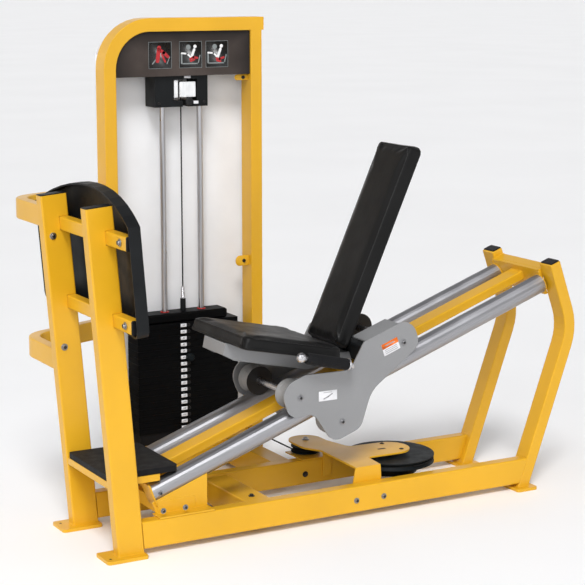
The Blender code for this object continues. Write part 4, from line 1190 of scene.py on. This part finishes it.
def perimeter_normal(point, length, width, corner):
    """Straight inward from a point outside a rounded rectangle."""
    core = Vector((
        max(-(length / 2 - corner), min(length / 2 - corner, point.x)),
        max(-(width / 2 - corner), min(width / 2 - corner, point.y)),
        0,
    ))
    return (core - Vector((point.x, point.y, 0))).normalized()


def round_bead(path, radius):
    """A smooth closed cord along a path that runs round the pad."""
    total = len(path)
    rings = []
    for index, point in enumerate(path):
        along = (path[(index + 1) % total] - path[index - 1]).normalized()
        side = along.cross(Z).normalized()
        rings.append([point + radius * (cos(a) * side + sin(a) * Z) for a in turns(BEAD_SIDES)])
    return looped(rings)


def stitches(tree, length, width, corner, thickness):
    """Short raised threads on the pad's face, beside its edge seam."""
    shells = []
    ring = rounded_ring(length / 2 - STITCH_INSET, width / 2 - STITCH_INSET, corner, 0, 8)
    path = resampled(ring, STITCH_STEP)
    for index, point in enumerate(path):
        after = path[(index + 1) % len(path)]
        along = (after - point).normalized()
        ends = []
        for shift in (-STITCH_HALF, 0, STITCH_HALF):
            start = point + along * shift + Z * thickness
            hit, normal, _, _ = tree.ray_cast(start, -Z)
            ends.append((hit, normal))
        if any(hit is None for hit, _ in ends):
            continue
        normal = ends[1][1]
        side = normal.cross(along).normalized()
        rings = []
        for (hit, _), radius, rise in zip(ends, (0.0003, 0.0007, 0.0003), (0, 0.0004, 0)):
            middle = hit + normal * rise
            rings.append([middle + radius * (cos(a) * side + sin(a) * normal) for a in turns(6)])
        shells.append(loft(rings))
    return shells


def upholstered(name, node, length, width, thickness, corner, lie, face, fill):
    """A foam pad on its board, in grained vinyl, with a corded edge and a row of stitching."""
    place = placed(centre_of(node), lie, face)
    pad = pad_blank(name, length, width, thickness, corner)
    rest, filled = inflate(pad, thickness)
    shift = filled - rest
    reach = np.maximum(np.linalg.norm(shift, axis=1, keepdims=True), 1e-9)
    shaped = rest + shift / reach * SWELL_CAP * np.tanh(reach / SWELL_CAP)
    shaped[:, 2] = np.maximum(shaped[:, 2], -thickness / 2)
    across = np.clip(shaped[:, 0] / (length / 2), -1, 1)
    aside = np.clip(shaped[:, 1] / (width / 2), -1, 1)
    shaped[:, 1] *= 1 - PINCH * np.cos(across * pi / 2)
    shaped[:, 0] *= 1 - PINCH * np.cos(aside * pi / 2)
    for index, point in enumerate(shaped):
        lift = SKIN_WAVE * noise.noise(Vector(point) * SKIN_WAVE_RATE) if point[2] > 0 else 0.0
        pad.data.vertices[index].co = (point[0], point[1], point[2] + lift)
    pad.data.update()
    faces = [tuple(p.vertices) for p in pad.data.polygons]
    tree = BVHTree.FromPolygons([v.co.copy() for v in pad.data.vertices], faces)
    top_seam = seam_path(tree, length, width, corner, thickness / 2 - TOP_SEAM_DROP)
    low_seam = seam_path(tree, length, width, corner, -thickness / 2 + LOW_SEAM_RISE)
    threads = stitches(tree, length, width, corner, thickness)
    pad.data.transform(place)
    pad.data.shade_smooth()
    smooth = pad.modifiers.new("smooth", "SUBSURF")
    smooth.levels = 1
    smooth.render_levels = 1
    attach(pad, "carriage")
    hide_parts(node)
    cords = [round_bead(top_seam, SEAM), round_bead(low_seam, SEAM * 0.7)]
    for label, shells, finish in (("seams", cords, "vinyl"), ("stitching", threads, "thread")):
        moved = [([place @ p for p in points], shell_faces) for points, shell_faces in shells]
        trim = piece(f"{name}_{label}", moved, finish, None, smooth=80)
        trim.parent = pad


SEAT_SIZE = (0.445, 0.47, 0.055, 0.035)
BACK_SIZE = (0.84, 0.26, 0.06, 0.028)
FOAM_FILL = 0.8


def pads():
    """The seat and the backrest, each lying along one way and facing another."""
    lie = Vector((cos(SEAT_TILT), 0, -sin(SEAT_TILT)))
    face = Vector((sin(SEAT_TILT), 0, cos(SEAT_TILT)))
    upholstered("seat_cushion", "seat_pad", *SEAT_SIZE, lie, face, FOAM_FILL)
    lie = Vector((sin(BACK_LEAN), 0, cos(BACK_LEAN)))
    face = Vector((-cos(BACK_LEAN), 0, sin(BACK_LEAN)))
    upholstered("back_cushion", "back_pad", *BACK_SIZE, lie, face, FOAM_FILL)


# --- floor

def make_floor():
    ring = [Vector((a * FLOOR_HALF, b * FLOOR_HALF, 0)) for a, b in ((-1, -1), (1, -1), (1, 1), (-1, 1))]
    low = [p - Z * 0.05 for p in ring]
    floor = piece("floor", [loft([low, ring])], "floor_paint", None)


bpy.context.scene.view_settings.view_transform = "Standard"
make_camera()
make_world()
make_suns()
make_softbox()
finish_nodes()
tube_caps()
axle_screws()
frame_screws()
tube_end_plates()
bracket_holes()
welds()
stack_markings()
head_bushes()
placard_print()
side_labels()
housing_details()
pulley_guard()
cable_collar()
shroud_screws()
upright_tabs()
grip_rings()
stack_cable()
pads()
make_floor()
